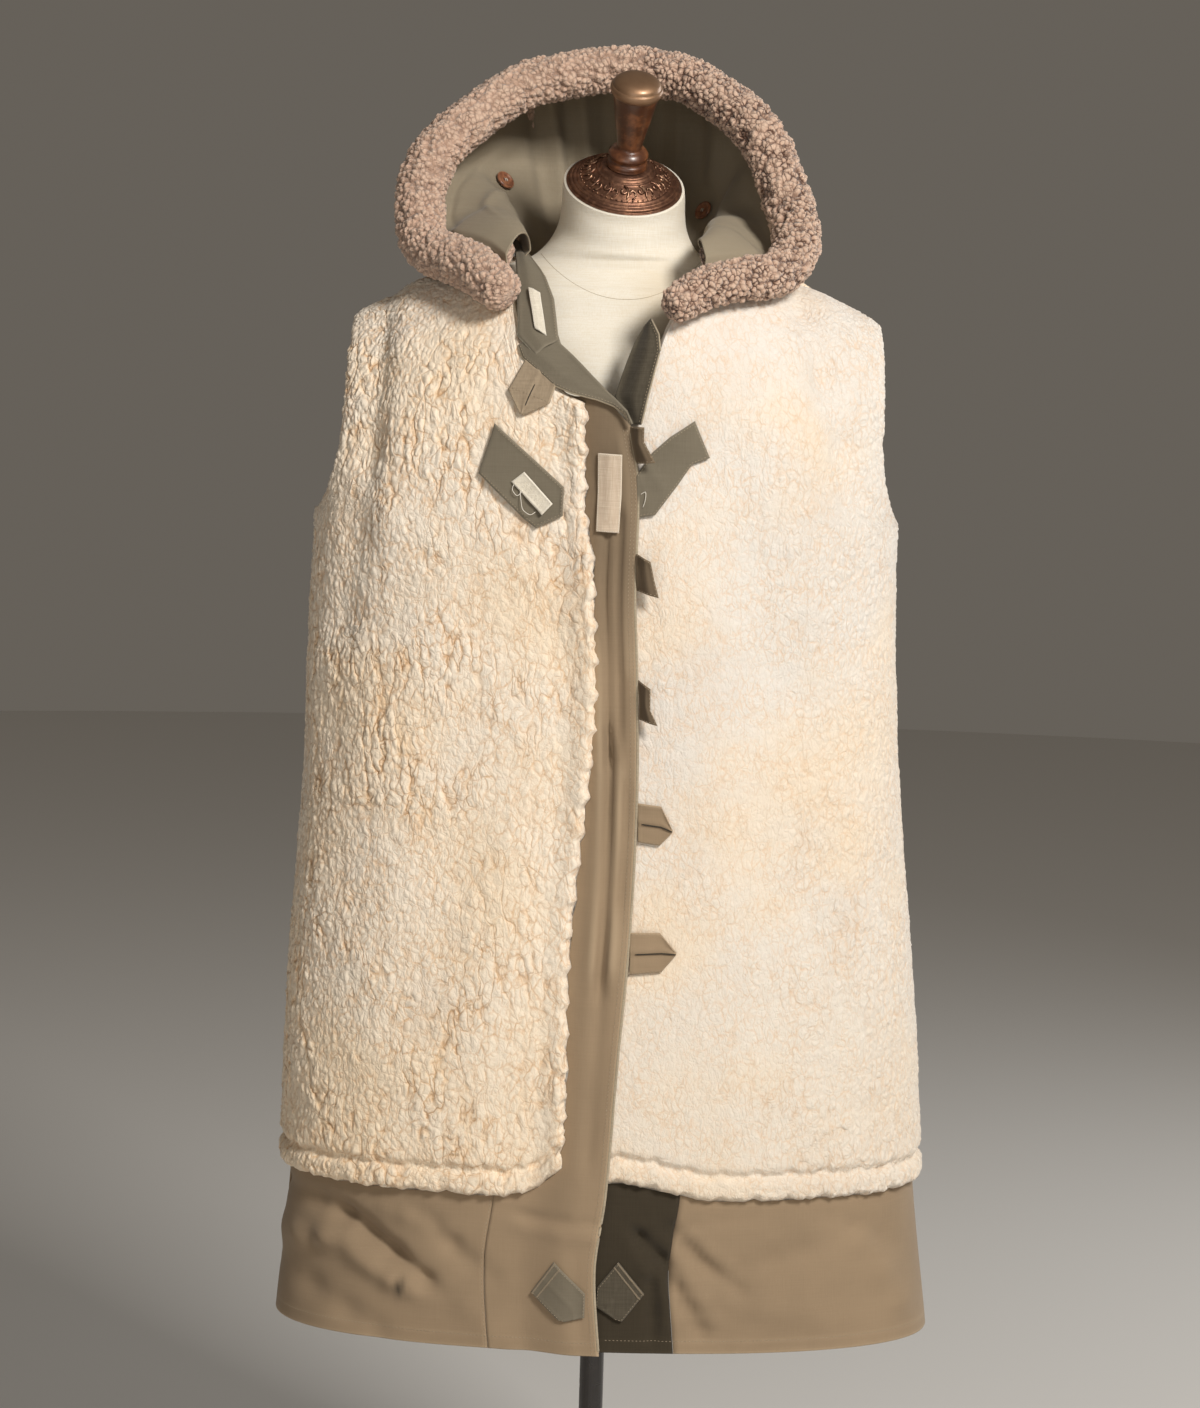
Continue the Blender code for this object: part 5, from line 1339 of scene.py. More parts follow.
def neck_pieces(lines):
    """Throat tab, lapel, throat band with its patch, and collar."""
    rows = [(-0.0830, 1.3600, -0.0556, 1.3400, ON_FLEECE - 0.0006, ON_FLEECE - 0.0006),
            (-0.0985, 1.3320, -0.0622, 1.3224, ON_FLEECE + 0.0014, ON_FLEECE + 0.0014),
            (-0.0885, 1.3120, -0.0850, 1.3112, ON_FLEECE + 0.0014, ON_FLEECE + 0.0014)]

    def lip(u, t):
        return 0.0010 * np.exp(-((t - 0.46) / 0.06) ** 2) - 0.0006 * np.exp(-((t - 0.56) / 0.05) ** 2)

    grid = patch("throat_tab_cloth", "throat_tab", on_right, rows, "canvas_light", (0.036, 0.036),
                 per_row=14, across=20, shape=lip)
    lines["canvas"] += inset_line(grid, 0.0022, "lr") + [across_line(grid, 0.46)]
    buttonhole("buttonhole_throat", grid, 0.51, 8, 8, 0.0005)
    high, low = ON_FLEECE, 0.0030

    def front(x, z, offset):
        return on_coat(x, z, False, offset)

    rows = [(-0.0905, 1.3710, -0.0585, 1.3900, high - 0.0010, low),
            (-0.0860, 1.3600, -0.0540, 1.3770, high, low),
            (-0.0708, 1.3483, -0.0436, 1.3681, high, low),
            (-0.0585, 1.3385, -0.0330, 1.3580, high + 0.0008, low + 0.003),
            (-0.0425, 1.3330, -0.0240, 1.3490, high + 0.0030, low + 0.007),
            (-0.0200, 1.3284, -0.0110, 1.3370, high + 0.0060, low + 0.013),
            (-0.0048, 1.3230, -0.0020, 1.3290, high + 0.0080, low + 0.018),
            (0.0055, 1.3160, 0.0082, 1.3188, high + 0.0090, low + 0.021),
            (0.0108, 1.3060, 0.0134, 1.3072, high + 0.0090, low + 0.021)]
    grid = patch("lapel_cloth", "lapel_right", front, rows, "cotton_grey", (0.032, 0.120), across=18,
                 shape=lambda u, t: 0.0016 * np.sin(8 * u + 2 * t) * np.sin(math.pi * t))
    lines["cotton"] += inset_line(grid, 0.0026, "l")
    piping("lapel_piping", grid, 0, "canvas_binding")
    rows = [(-0.0992, 1.4640, -0.0871, 1.4578, high, low + 0.002),
            (-0.0945, 1.4500, -0.0745, 1.4440, high, low + 0.001),
            (-0.0933, 1.4425, -0.0698, 1.4372, high, low),
            (-0.0910, 1.4158, -0.0614, 1.4173, high, low),
            (-0.0900, 1.3960, -0.0585, 1.4000, high + 0.0006, low + 0.001),
            (-0.0896, 1.3779, -0.0567, 1.3874, high + 0.0016, low + 0.002),
            (-0.0735, 1.3625, -0.0558, 1.3800, high + 0.0010, low + 0.002)]
    grid = patch("throat_band_cloth", "throat_band", front, rows, "cotton_grey", (0.036, 0.105),
                 across=18, shape=lambda u, t: 0.0005 * np.sin(7 * u + 3 * t))
    lines["cotton"] += inset_line(grid, 0.0026, "r")
    piping("band_piping", grid, 0, "cotton_piping")
    rows = [(-0.0806, 1.4190, -0.0711, 1.4172, 0.0163, 0.0126),
            (-0.0745, 1.3846, -0.0652, 1.3806, 0.0163, 0.0115)]
    grid = patch("throat_patch_cloth", "throat_patch", front, rows, "tape_white", (0.0145, 0.038),
                 per_row=16, shape=lambda u, t: 0.0006 + 0.0003 * np.sin(9 * u))
    lines["tape"] += inset_line(grid, 0.0013)
    rows = [(0.0123, 1.3061, 0.0206, 1.3061, high, high + 0.0040),
            (0.0043, 1.3174, 0.0235, 1.3200, 0.0080, high + 0.0050),
            (-0.0037, 1.3312, 0.0262, 1.3330, 0.0040, high + 0.0060),
            (0.0020, 1.3502, 0.0300, 1.3510, low, high + 0.0060),
            (0.0070, 1.3650, 0.0341, 1.3698, low, high + 0.0060),
            (0.0130, 1.3810, 0.0322, 1.3830, low, high + 0.0050),
            (0.0215, 1.3955, 0.0248, 1.3975, low + 0.004, high + 0.0030)]
    # Painted shade: the collar takes the darker copy of the cotton.
    grid = patch("collar_cloth", "collar_left", front, rows, "cotton_dark", (0.036, 0.098), across=18,
                 shape=lambda u, t: 0.0008 * np.sin(10 * u) - 0.0030 * np.sin(math.pi * t))
    lines["cotton"] += inset_line(grid, 0.0030, "r")
    piping("collar_piping", grid, -1, "canvas_binding")


def front_pieces():
    """Everything sewn on the fronts, with the stitches of all of it."""
    pitch = bpy.context.scene.coat_cloth.stitch
    lines = {"canvas": [], "cotton": [], "tape": [], "whip": []}
    for build in (edge_lines, button_tabs, chest_pieces, hem_tabs, neck_pieces):
        build(lines)
    stitches("stitches_whip", lines["whip"], "thread_light", 0.0011, 0.0020, 0.00045, crossways=True)
    stitches("stitches_canvas", lines["canvas"], "thread_light", pitch)
    stitches("stitches_cotton", lines["cotton"], "thread_light", pitch * 0.85, 0.0017, 0.00030)
    stitches("stitches_tape", lines["tape"], "thread_white", pitch * 0.55, 0.0016, 0.00030)


# ---------------------------------------------------------------- hood
def smooth_rows(rows, at):
    """Rows of a table read on a smooth line through them, at places counted in rows."""
    at = np.asarray(at, dtype=float)
    i = np.clip(at.astype(int), 0, len(rows) - 2)
    t = (at - i)[..., None]
    p = [rows[np.clip(i + k, 0, len(rows) - 1)] for k in (-1, 0, 1, 2)]
    return 0.5 * (2 * p[1] + (p[2] - p[0]) * t + (2 * p[0] - 5 * p[1] + 4 * p[2] - p[3]) * t**2
                  + (3 * p[1] - p[0] - 3 * p[2] + p[3]) * t**3)


def roll_direction(at):
    ahead = smooth_rows(TRIM, np.minimum(at + 0.05, len(TRIM) - 1))
    behind = smooth_rows(TRIM, np.maximum(at - 0.05, 0))
    return unit(ahead[..., :3] - behind[..., :3])


def hood_point(at, t):
    row = smooth_rows(HOOD, at)
    station = Station(*np.moveaxis(row, -1, 0))
    roll = smooth_rows(TRIM, station.at_roll)
    swell = np.stack([station.side, station.back, station.rise], axis=-1)
    along = roll_direction(station.at_roll)
    clear = unit(swell - along * (swell * along).sum(axis=-1, keepdims=True))
    a = roll[..., :3] + clear * (roll[..., 3:4] + HOOD_START)
    d = np.stack([station.neck_x, station.neck_y, station.neck_z], axis=-1)
    c = d + np.stack([station.neck_side, station.neck_back, station.neck_rise], axis=-1)
    t = t[..., None]
    s = 1 - t
    return a * s**3 + (a + swell) * 3 * s * s * t + c * 3 * s * t * t + d * t**3


def hood_surface(at, t, offset):
    """Points of the hood, moved out from the lining's inner face."""
    at, t, offset = (values.astype(float) for values in np.broadcast_arrays(at, t, offset))
    last = len(HOOD) - 1
    step = 0.01
    along = hood_point(np.minimum(at + step, last), t) - hood_point(np.maximum(at - step, 0), t)
    down = hood_point(at, np.minimum(t + step, 1)) - hood_point(at, np.maximum(t - step, 0))
    return hood_point(at, t) + unit(np.cross(along, down)) * offset[..., None]


def fur_pattern(nodes, at, curl, parting):
    """Height of curled fur (about 0 to 1), its curls' tops and its curls' borders."""
    bent = nodes.bent(nodes.bent(at, 80.0, 0.007), 330.0, 0.0030)
    lock = nodes.cells(bent, 0.42 / curl, "F1")
    top = 1.0 - (nodes.cells(bent, 1.0 / curl, "F1") * 1.25).least(1.0) ** 2.0
    border = nodes.cells(bent, 1.0 / curl)
    height = ((1.0 - lock * lock) * 0.45 + top * 0.40 * parting + dome(border, 0.20) * 0.22
              + nodes.noise(bent, 420.0, 2.0) * 0.26)
    return height, top, border


def fur_finish(name, curl):
    fur = bpy.context.scene.coat_fur
    finish = Finish(name, 0.92, Sheen_Weight=0.30, Sheen_Roughness=0.5, Specular_IOR_Level=0.15)
    n, at = finish.nodes, finish.rest()
    height, top, border = fur_pattern(n, at, curl, 1.0)
    fine = n.cells(n.bent(at, 600.0, 0.0018), 1.0 / 0.0023)
    fibres = n.noise(at, 1100.0, 3.0, 0.7)
    # Painted shade: the gaps and low places between the curls darken towards the roots' colour, more on the
    # wearer's left, the hood's shaded side.
    shaded_side = n.smooth(n.along(at, "X"), -0.06, 0.08)
    gap = 1.0 - n.smooth(border + (fibres - 0.5) * 0.20, 0.0, 0.20)
    gap = gap * n.smooth(n.noise(at, 95.0, 2.0), 0.36, 0.64)
    low = 1.0 - n.smooth(height + (fibres - 0.5) * 0.20, 0.50, 0.96)
    patch_tone = n.smooth(n.noise(at, 11.0, 3.0, 0.6), 0.36, 0.66)
    tips = n.mix(patch_tone * 0.45, tuple(fur.tips), (0.50, 0.335, 0.240))
    # Painted highlight: the tops of the curls are lightened.
    tips = n.mix(((top - 0.50) * 0.9 + (fibres - 0.5) * 0.7).clamped(), tips, (0.80, 0.62, 0.48))
    dark = (gap * 0.66 + low * 0.62) * (0.38 + 0.62 * shaded_side)
    finish.set("Base Color", n.mix(dark.clamped(), tips, tuple(fur.roots)))
    finish.bump(height - gap * 0.20 + dome(fine, 0.30) * 0.16 + fibres * 0.22, 0.0030, 0.75)


def build_roll():
    """Fur roll round the hood's opening."""
    fur = bpy.context.scene.coat_fur
    sides, rings = 76, 560
    last = len(TRIM) - 1
    at = np.linspace(0, last, rings)
    row = smooth_rows(TRIM, at)
    centre = row[:, :3]
    along = roll_direction(at)
    across = unit(np.cross(along, np.array([0, 1, 0.3])))
    outward_way = np.cross(along, across)
    run = np.concatenate([[0], np.cumsum(np.linalg.norm(np.diff(centre, axis=0), axis=1))])
    from_end = np.minimum(run, run[-1] - run)
    radius = (row[:, 3] - 0.0012) * np.maximum(round_off(from_end + 0.0012, 0.012), 0.10)
    turn = np.linspace(0, 2 * math.pi, sides, endpoint=False)
    spoke = across[:, None] * np.cos(turn)[:, None] + outward_way[:, None] * np.sin(turn)[:, None]
    points = (centre[:, None] + spoke * radius[:, None, None]).reshape(-1, 3)
    pile = np.repeat(np.minimum(1, 0.5 + from_end / 0.02), sides)
    obj = furred("hood_roll", points, ring_faces(rings, sides), pile,
                 ("fur relief", fur.curl, fur.depth, 1.0, 0.78), "fur_curled", "hood_trim")


def build_hood_fur():
    """Fur outside the hood."""
    fur = bpy.context.scene.coat_fur
    at = (len(HOOD) - 1) * stops(152, COARSE)
    depth = stops(112, COARSE)
    station = Station(*np.moveaxis(smooth_rows(HOOD, at), -1, 0))
    t = depth[:, None] * station.fur_end * (0.30 + 0.70 * smoothstep(at / 1.3))
    base = COTTON_THICK + HOOD_FUR_GAP
    rough = hood_surface(at, t, base)
    edge = from_border(rough)
    swell = station.fur * round_off(edge, 0.008)
    outer = hood_surface(at, t, base + 0.0006 + swell)
    points, faces = wall(outer, rough, COARSE)
    pile = np.zeros(len(points))
    pile[:edge.size] = np.clip(swell / 0.006, 0, 1).ravel()
    obj = furred("hood_outer_fur", points, faces, pile,
                 ("fur relief", fur.curl, fur.depth * 0.9, 1.0, 0.70), "fur_curled", "hood_fur")


# Folds of the lining, in stations along and shares down: from (at, t) to (at2, t2), width in stations, depth.
LINING_FOLDS = [
    (3.10, 0.02, 3.20, 0.70, 0.10, 0.0060), (3.30, 0.00, 3.40, 0.80, 0.07, -0.0065),
    (3.46, 0.00, 3.55, 0.80, 0.07, 0.0050), (3.62, 0.00, 3.68, 0.80, 0.06, -0.0060),
    (3.84, 0.02, 3.86, 0.75, 0.07, 0.0050), (4.14, 0.02, 4.18, 0.80, 0.08, -0.0065),
    (4.34, 0.02, 4.40, 0.80, 0.08, 0.0050), (4.58, 0.02, 4.64, 0.70, 0.08, -0.0060),
    (4.82, 0.02, 4.90, 0.70, 0.10, 0.0050), (5.05, 0.00, 5.12, 0.75, 0.10, -0.0050),
    (5.45, 0.02, 5.40, 0.60, 0.18, 0.0045), (2.75, 0.05, 2.90, 0.60, 0.16, -0.0040),
    (1.40, 0.15, 2.40, 0.35, 0.20, 0.0025), (1.00, 0.40, 2.10, 0.62, 0.22, -0.0030),
    (6.10, 0.10, 6.50, 0.80, 0.20, -0.0040), (6.60, 0.05, 7.10, 0.70, 0.18, 0.0035),
]


def lining_folds(at, t):
    """Height of the lining's folds, held down at its edges and round the buttons."""
    height = np.zeros(np.broadcast(at, t).shape)
    for a, b, c, d, width, depth in LINING_FOLDS:
        along = np.clip((t - b) / (d - b), -0.5, 1.5)
        middle = a + (c - a) * along
        beyond = np.maximum(np.maximum(-along, along - 1), 0)
        height += depth * np.exp(-((at - middle) / width) ** 2 - (beyond / 0.25) ** 2)
    clear = 1.0
    for a, b, _ in button_rows():
        clear = clear * (1 - np.exp(-((at - a) / 0.30) ** 4 - ((t - b) / 0.14) ** 4))
    return np.minimum(height - 0.0045, 0.0012) * smoothstep(t / 0.06) * smoothstep((1 - t) / 0.10) * clear


def build_lining():
    """Lining of the hood in two halves, each turned in at the seam over the top."""
    last = len(HOOD) - 1
    for word, first, final in (("right", 0, last // 2), ("left", last // 2, last)):
        at = first + (final - first) * stops(100)
        t = stops(64)[:, None]
        shape = lining_folds(at[None, :], t)
        tuck = 0.0035 * np.exp(-((at[None, :] - last / 2) / 0.035) ** 2) * smoothstep(t / 0.05)
        shape = np.minimum(shape + tuck, 0.0012)
        inner = hood_surface(at[None, :], t, shape)
        outer = hood_surface(at[None, :], t, shape + COTTON_THICK)
        points, faces = wall(outer, inner)
        obj = piece(f"lining_{word}", points, faces, "cotton_lining", f"hood_lining_{word}")


def button_rows():
    """Places of the hood's buttons: station along, share down, height over the lining."""
    return [(8 / 3, 0.58, -0.0020), (5.0, 0.74, -0.0016), (23 / 3, 0.74, -0.0008)]


def lathe(profile, sides, place):
    """Points and faces of a turned solid; profile rows are (radius, height)."""
    points, faces, rings = [], [], []
    for radius, height in profile:
        if radius == 0:
            rings.append([len(points)])
            points.append(place @ Vector((0, 0, height)))
            continue
        rings.append(list(range(len(points), len(points) + sides)))
        for k in range(sides):
            angle = 2 * math.pi * k / sides
            points.append(place @ Vector((radius * math.cos(angle), radius * math.sin(angle), height)))
    for ring, following in zip(rings, rings[1:]):
        for k in range(sides):
            n = (k + 1) % sides
            if len(ring) == 1:
                faces.append((ring[0], following[k], following[n]))
            elif len(following) == 1:
                faces.append((ring[k], following[0], ring[n]))
            else:
                faces.append((ring[k], following[k], following[n], ring[n]))
    return [tuple(p) for p in points], faces


def smooth_profile(rows, per_row=6):
    """A turned outline rounded through its rows."""
    rows = np.array(rows, dtype=float)
    at = np.linspace(0, len(rows) - 1, per_row * (len(rows) - 1) + 1)
    curve = smooth_rows(rows, at)
    curve[:, 0] = np.maximum(curve[:, 0], 0)
    return [tuple(p) for p in curve]


BUTTON_OUTLINE = [(0.0, 0.0), (0.0070, 0.0), (0.0090, 0.0006), (0.0098, 0.0014), (0.0100, 0.0022),
                  (0.0095, 0.0031), (0.0086, 0.0036), (0.0077, 0.0035), (0.0070, 0.0029), (0.0058, 0.0025),
                  (0.0030, 0.0024), (0.0, 0.0024)]


def build_buttons():
    """Turned buttons on the hood's lining, each with two short threads."""
    for number, (at, t, inwards) in enumerate(button_rows(), start=1):
        middle = hood_surface(at, t, inwards)
        normal = Vector(hood_surface(at, t, inwards - 0.01) - middle).normalized()
        place = Matrix.Translation(Vector(middle)) @ normal.to_track_quat("Z", "Y").to_matrix().to_4x4()
        points, faces = lathe(BUTTON_OUTLINE, 40, place)
        piece(f"button_{number}", points, faces, "button_brown", f"hood_button_{number}")
        for letter, side in (("a", -1), ("b", 1)):
            line = [place @ Vector((side * 0.0011, y, 0.0026 + 0.0008 * (1 - (y / 0.0020) ** 2)))
                    for y in np.linspace(-0.0020, 0.0020, 7)]
            tube(f"button_{number}_thread_{letter}", line, 0.00042, "thread_white", sides=6)


# ---------------------------------------------------------------- dress form and stand
def form_rows():
    """The form's rings, counted from below; a height of 0 stands for the shoulder line's."""
    rows = FORM.copy()
    heights = np.where(rows[:, 0] == 0, shoulder_z(rows[:, 1]) - SHOULDER_CLEAR, rows[:, 0])
    return np.column_stack([np.arange(len(rows)), heights, rows[:, 1:]])


def form_surface(at, angle):
    """Points of the form's cover at ring places and angles."""
    row = Table("at z half_width front back power centre_y tilt lean", form_rows()).at(at)
    depth = np.where(np.sin(angle) < 0, row.front, row.back)
    bulge = np.sign(np.sin(angle)) * abs(np.sin(angle)) ** (2 * row.power)
    x, y = row.half_width * np.cos(angle), depth * bulge
    tilt, lean = np.radians(row.tilt), np.radians(row.lean)
    y2, z2 = y * np.cos(tilt), y * np.sin(tilt)
    x3 = x * np.cos(lean) + z2 * np.sin(lean)
    z3 = -x * np.sin(lean) + z2 * np.cos(lean)
    return np.stack([x3, row.centre_y + y2, row.z + z3], axis=-1)


# Where the neck is sewn to the shoulders: places across and heights, seen from the front.
NECK_SEAM = [(-0.082, 1.468), (-0.070, 1.454), (-0.055, 1.441), (-0.038, 1.4305), (-0.020, 1.4235),
             (0.000, 1.4205), (0.022, 1.4225), (0.044, 1.431), (0.060, 1.443), (0.078, 1.462)]


def build_form():
    """Linen cover of the form, and the seam at the foot of its neck."""
    count = len(FORM) - 1
    at = np.concatenate([np.linspace(0, 1, 5)[:-1], np.linspace(1, count - 1, 140),
                         [count - 0.6, count - 0.3, count - 0.1, count]])
    angle = np.linspace(0, 2 * math.pi, FORM_SIDES, endpoint=False)
    rings = form_surface(at[:, None], angle[None, :])
    points = rings.reshape(-1, 3)
    faces = ring_faces(len(at), FORM_SIDES)
    piece("form_cover", points, faces, "linen_offwhite", "form_body")
    tree = BVHTree.FromPolygons(points.tolist(), faces)
    seam = smooth_rows(np.array(NECK_SEAM), np.linspace(0, len(NECK_SEAM) - 1, 70))
    line = [tree.ray_cast(Vector((x, -1.0, z)), Vector((0, 1, 0)))[0] for x, z in seam]
    tube("neck_seam", [tuple(p) for p in line if p], 0.00024, "seam_shadow", sides=6)


def cap_place():
    """Placement of the neck cap on the form's slanting neck."""
    turn = Matrix.Rotation(CAP_LEAN, 4, "Y") @ Matrix.Rotation(CAP_TILT, 4, "X")
    axis = turn.to_3x3() @ Vector((0, 0, 1))
    foot = Vector((0, FORM[-1][5], FORM[-1][0])) + axis * SEAM_GAP
    return Matrix.Translation(foot) @ turn


FINIAL_SCALE = 0.95           # drawn length of the finial over that of its solid
CAP_OUTLINE = [(0.0, 0.0), (CAP_RADIUS - 0.001, 0.0), (CAP_RADIUS, 0.0010), (CAP_RADIUS + 0.0002, 0.0024),
               (CAP_RADIUS - 0.0010, 0.0038), (0.0500, 0.0036), (0.0494, 0.0048), (0.0480, 0.0056),
               (0.0466, 0.0050), (0.0458, 0.0060), (0.0444, 0.0070), (0.0430, 0.0066), (0.0415, 0.0078),
               (0.0340, 0.0126), (0.0290, 0.0150), (0.0280, 0.0166), (0.0262, 0.0174), (0.0250, 0.0186),
               (0.0215, CAP_RISE), (0.0, CAP_RISE)]
FINIAL_OUTLINE = [(0.0, 0.0), (0.0176, 0.0), (0.0190, 0.0022), (0.0190, 0.0050), (0.0174, 0.0072),
                  (0.0170, 0.0088), (0.0176, 0.0100), (0.0188, 0.0122), (0.0188, 0.0146), (0.0160, 0.0182),
                  (0.0126, 0.0204), (0.0118, 0.0222), (0.0120, 0.0245), (0.0133, 0.0330), (0.0150, 0.0420),
                  (0.0170, 0.0530), (0.0190, 0.0650), (0.0207, 0.0745), (0.0222, 0.0806)]
KNOB_OUTLINE = [(0.0222, 0.0806), (0.0238, 0.0822), (0.0248, 0.0850), (0.0247, 0.0878), (0.0238, 0.0896),
                (0.0228, 0.0902), (0.0224, 0.0912), (0.0212, 0.0936), (0.0180, 0.0962), (0.0130, 0.0982),
                (0.0070, 0.0992), (0.0, 0.0995)]


def build_scrolls(place):
    """Pairs of scrolls with a leaf between them, and a ring of beads, in relief on the cap."""
    count = bpy.context.scene.coat_stand.scrolls

    def on_cap(radius, angle, rise):
        height = np.interp(radius, [0.0285, 0.0340, 0.0415, 0.0430], [0.0155, 0.0128, 0.0080, 0.0068]) + rise
        return place @ Vector((radius * math.cos(angle), radius * math.sin(angle), float(height)))

    work = bmesh.new()
    for k in range(count):
        middle = 2 * math.pi * k / count
        for side in (-1, 1):
            turns = np.linspace(0, 1.6 * math.pi, 15)
            size = 0.0046 * (1 - turns / (2.2 * math.pi))
            radius = 0.0352 + side * 0.0012 + size * np.cos(turns) * side
            angle = middle + side * 0.115 + size * np.sin(turns) / 0.036
            line = [on_cap(r, a, 0.0006) for r, a in zip(radius, angle)]
            sweep(work, line, np.linspace(0.0009, 0.0016, len(line)))
        leaf = [on_cap(r, middle + 0.02 * math.sin(400 * r), 0.0007) for r in np.linspace(0.0300, 0.0412, 9)]
        sweep(work, leaf, 0.0011 * np.sin(np.linspace(0.25, 2.9, 9)) + 0.0003)
    beads = count * 4
    for k in range(beads):
        centre = on_cap(0.0424, 2 * math.pi * k / beads, 0.0004)
        bmesh.ops.create_icosphere(work, subdivisions=1, radius=0.00105, matrix=Matrix.Translation(centre))
    mesh = bpy.data.meshes.new("cap_scrolls")
    bmesh.ops.recalc_face_normals(work, faces=work.faces[:])
    work.to_mesh(mesh)
    work.free()
    placed("cap_scrolls", mesh, "bronze_relief")


def build_cap():
    """Neck cap with scrolls in relief, and the finial over it."""
    place = cap_place()
    points, faces = lathe(smooth_profile(CAP_OUTLINE, 4), 96, place)
    piece("cap_plate", points, faces, "bronze", "neck_cap")
    build_scrolls(place)
    stem = place @ Matrix.Translation((0, 0, CAP_RISE + SEAM_GAP)) @ Matrix.Diagonal((1, 1, FINIAL_SCALE, 1))
    outline = smooth_profile(FINIAL_OUTLINE, 4) + smooth_profile(KNOB_OUTLINE, 4)[1:]
    sides = 72
    points, faces = lathe(outline, sides, stem)
    obj = piece("finial_wood", points, faces, "wood_walnut", "finial")
    rings = [np.full(1 if radius == 0 else sides, height) for radius, height in outline]
    store(obj.data, "along", np.concatenate(rings))


def sweep(work, line, radii):
    """Add a closed round bar along a line to a mesh under way."""
    line = np.array([tuple(p) for p in line])
    along = unit(np.gradient(line, axis=0))
    across = unit(np.cross(along, np.array([0.3, 0.5, 0.8])))
    other = np.cross(along, across)
    rings, sides = [], 6
    for p, a, b, r in zip(line, across, other, radii):
        rings.append([work.verts.new(p + (a * math.cos(q) + b * math.sin(q)) * r)
                      for q in np.linspace(0, 2 * math.pi, sides, endpoint=False)])
    for ring, following in zip(rings, rings[1:]):
        for k in range(sides):
            n = (k + 1) % sides
            work.faces.new((ring[k], ring[n], following[n], following[k]))
    work.faces.new(rings[0][::-1])
    work.faces.new(rings[-1])


def linen_finish():
    """Linen of the form, with painted warm shade on its left under the neck."""
    finish = Finish("linen_offwhite", 0.85, Sheen_Weight=0.1, Specular_IOR_Level=0.25)
    n, at = finish.nodes, finish.here()
    warp = n.noise(n.scaled(at, 1.0, 1.0, 0.05), 1100.0, 2.0)
    weft = n.noise(n.scaled(at, 0.05, 0.05, 1.0), 1100.0, 2.0)
    cloud = n.noise(at, 12.0, 3.0)
    linen = tuple(bpy.context.scene.coat_stand.linen)
    tone = n.mix(((warp + weft) - 0.8).clamped(), linen, (0.70, 0.61, 0.45))
    tone = n.mix(n.smooth(cloud, 0.45, 0.75) * 0.35, tone, (0.66, 0.54, 0.36))
    # Painted shade: a warm darker tone on the left of the chest under the neck.
    painted_warm_shade = n.smooth(n.along(at, "X"), -0.02, 0.07) * (1.0 - n.smooth(n.along(at, "Z"), 1.38, 1.47))
    finish.set("Base Color", n.mix(painted_warm_shade * 0.75, tone, (0.46, 0.34, 0.19)))
    finish.bump(warp + weft, 0.0004, 0.45)


def bronze_finish(name, roughness, light):
    """Brown bronze, lighter where it is worn."""
    finish = Finish(name, roughness, Metallic=0.85)
    n, at = finish.nodes, finish.here()
    worn = n.smooth(n.noise(at, 170.0, 4.0, 0.6), 0.42, 0.68)
    finish.set("Base Color", n.mix(worn * 0.55, tuple(bpy.context.scene.coat_stand.bronze), light))
    finish.set("Roughness", roughness + n.noise(at, 90.0, 3.0) * 0.22)
    finish.bump(n.noise(at, 600.0, 3.0), 0.0003, 0.5)


def wood_finish():
    """Polished walnut, with a browned metal knob at its top."""
    finish = Finish("wood_walnut", 0.36, Coat_Weight=0.35, Coat_Roughness=0.2)
    n, at = finish.nodes, finish.here()
    grain = n.noise(n.scaled(at, 1.0, 1.0, 0.16), 330.0, 4.0, 0.6)
    mottle = n.noise(at, 75.0, 3.0, 0.6)
    wood = tuple(bpy.context.scene.coat_stand.wood)
    tone = n.mix(n.smooth(mottle, 0.44, 0.70), wood, (0.20, 0.072, 0.026))
    tone = n.mix((grain - 0.35) * 0.6, tone, (0.045, 0.018, 0.009))
    knob = n.smooth(n.attribute("along"), 0.0800, 0.0822)
    finish.set("Base Color", n.mix(knob, tone, n.mix(mottle, (0.24, 0.13, 0.07), (0.34, 0.21, 0.12))))
    finish.set("Roughness", 0.30 + knob * 0.12 + mottle * 0.12)
    finish.set("Metallic", knob * 0.75)
    finish.bump(grain, 0.0003, 0.3)


def glossy_finish(name, roughness, coat, mottle, first, second, rough):
    """Smooth and mottled; coat: settings of the clear layer, mottle: size and range of the tones,
    rough: least roughness, then size and detail of what is added to it."""
    finish = Finish(name, roughness, **coat)
    n, at = finish.nodes, finish.here()
    size, low, high = mottle
    finish.set("Base Color", n.mix(n.smooth(n.noise(at, size, 3.0), low, high), first, second))
    finish.set("Roughness", rough[0] + n.noise(at, rough[1], rough[2]) * 0.2)


def stand_finishes():
    """Finishes of the form, its cap and finial, the stand and the buttons."""
    linen_finish()
    plain_finish("seam_shadow", (0.40, 0.32, 0.21))
    bronze_finish("bronze", 0.34, (0.42, 0.22, 0.13))
    bronze_finish("bronze_relief", 0.26, (0.66, 0.42, 0.27))
    wood_finish()
    glossy_finish("pole_brown", 0.28, {"Coat_Weight": 0.4, "Coat_Roughness": 0.1}, (40.0, 0.5, 0.8),
                  (0.020, 0.014, 0.011), (0.050, 0.032, 0.024), (0.20, 120.0, 3.0))
    glossy_finish("button_brown", 0.34, {"Coat_Weight": 0.25}, (240.0, 0.35, 0.7),
                  (0.36, 0.15, 0.075), (0.15, 0.055, 0.03), (0.25, 500.0, 2.0))


# ---------------------------------------------------------------- stage
CAMERA_AT = (-0.0096, -3.40, 1.40)
CAMERA_PITCH = math.radians(-6.2)
CAMERA_ROLL = math.radians(1.556)
LENS = 90.15
SENSOR = 36.0


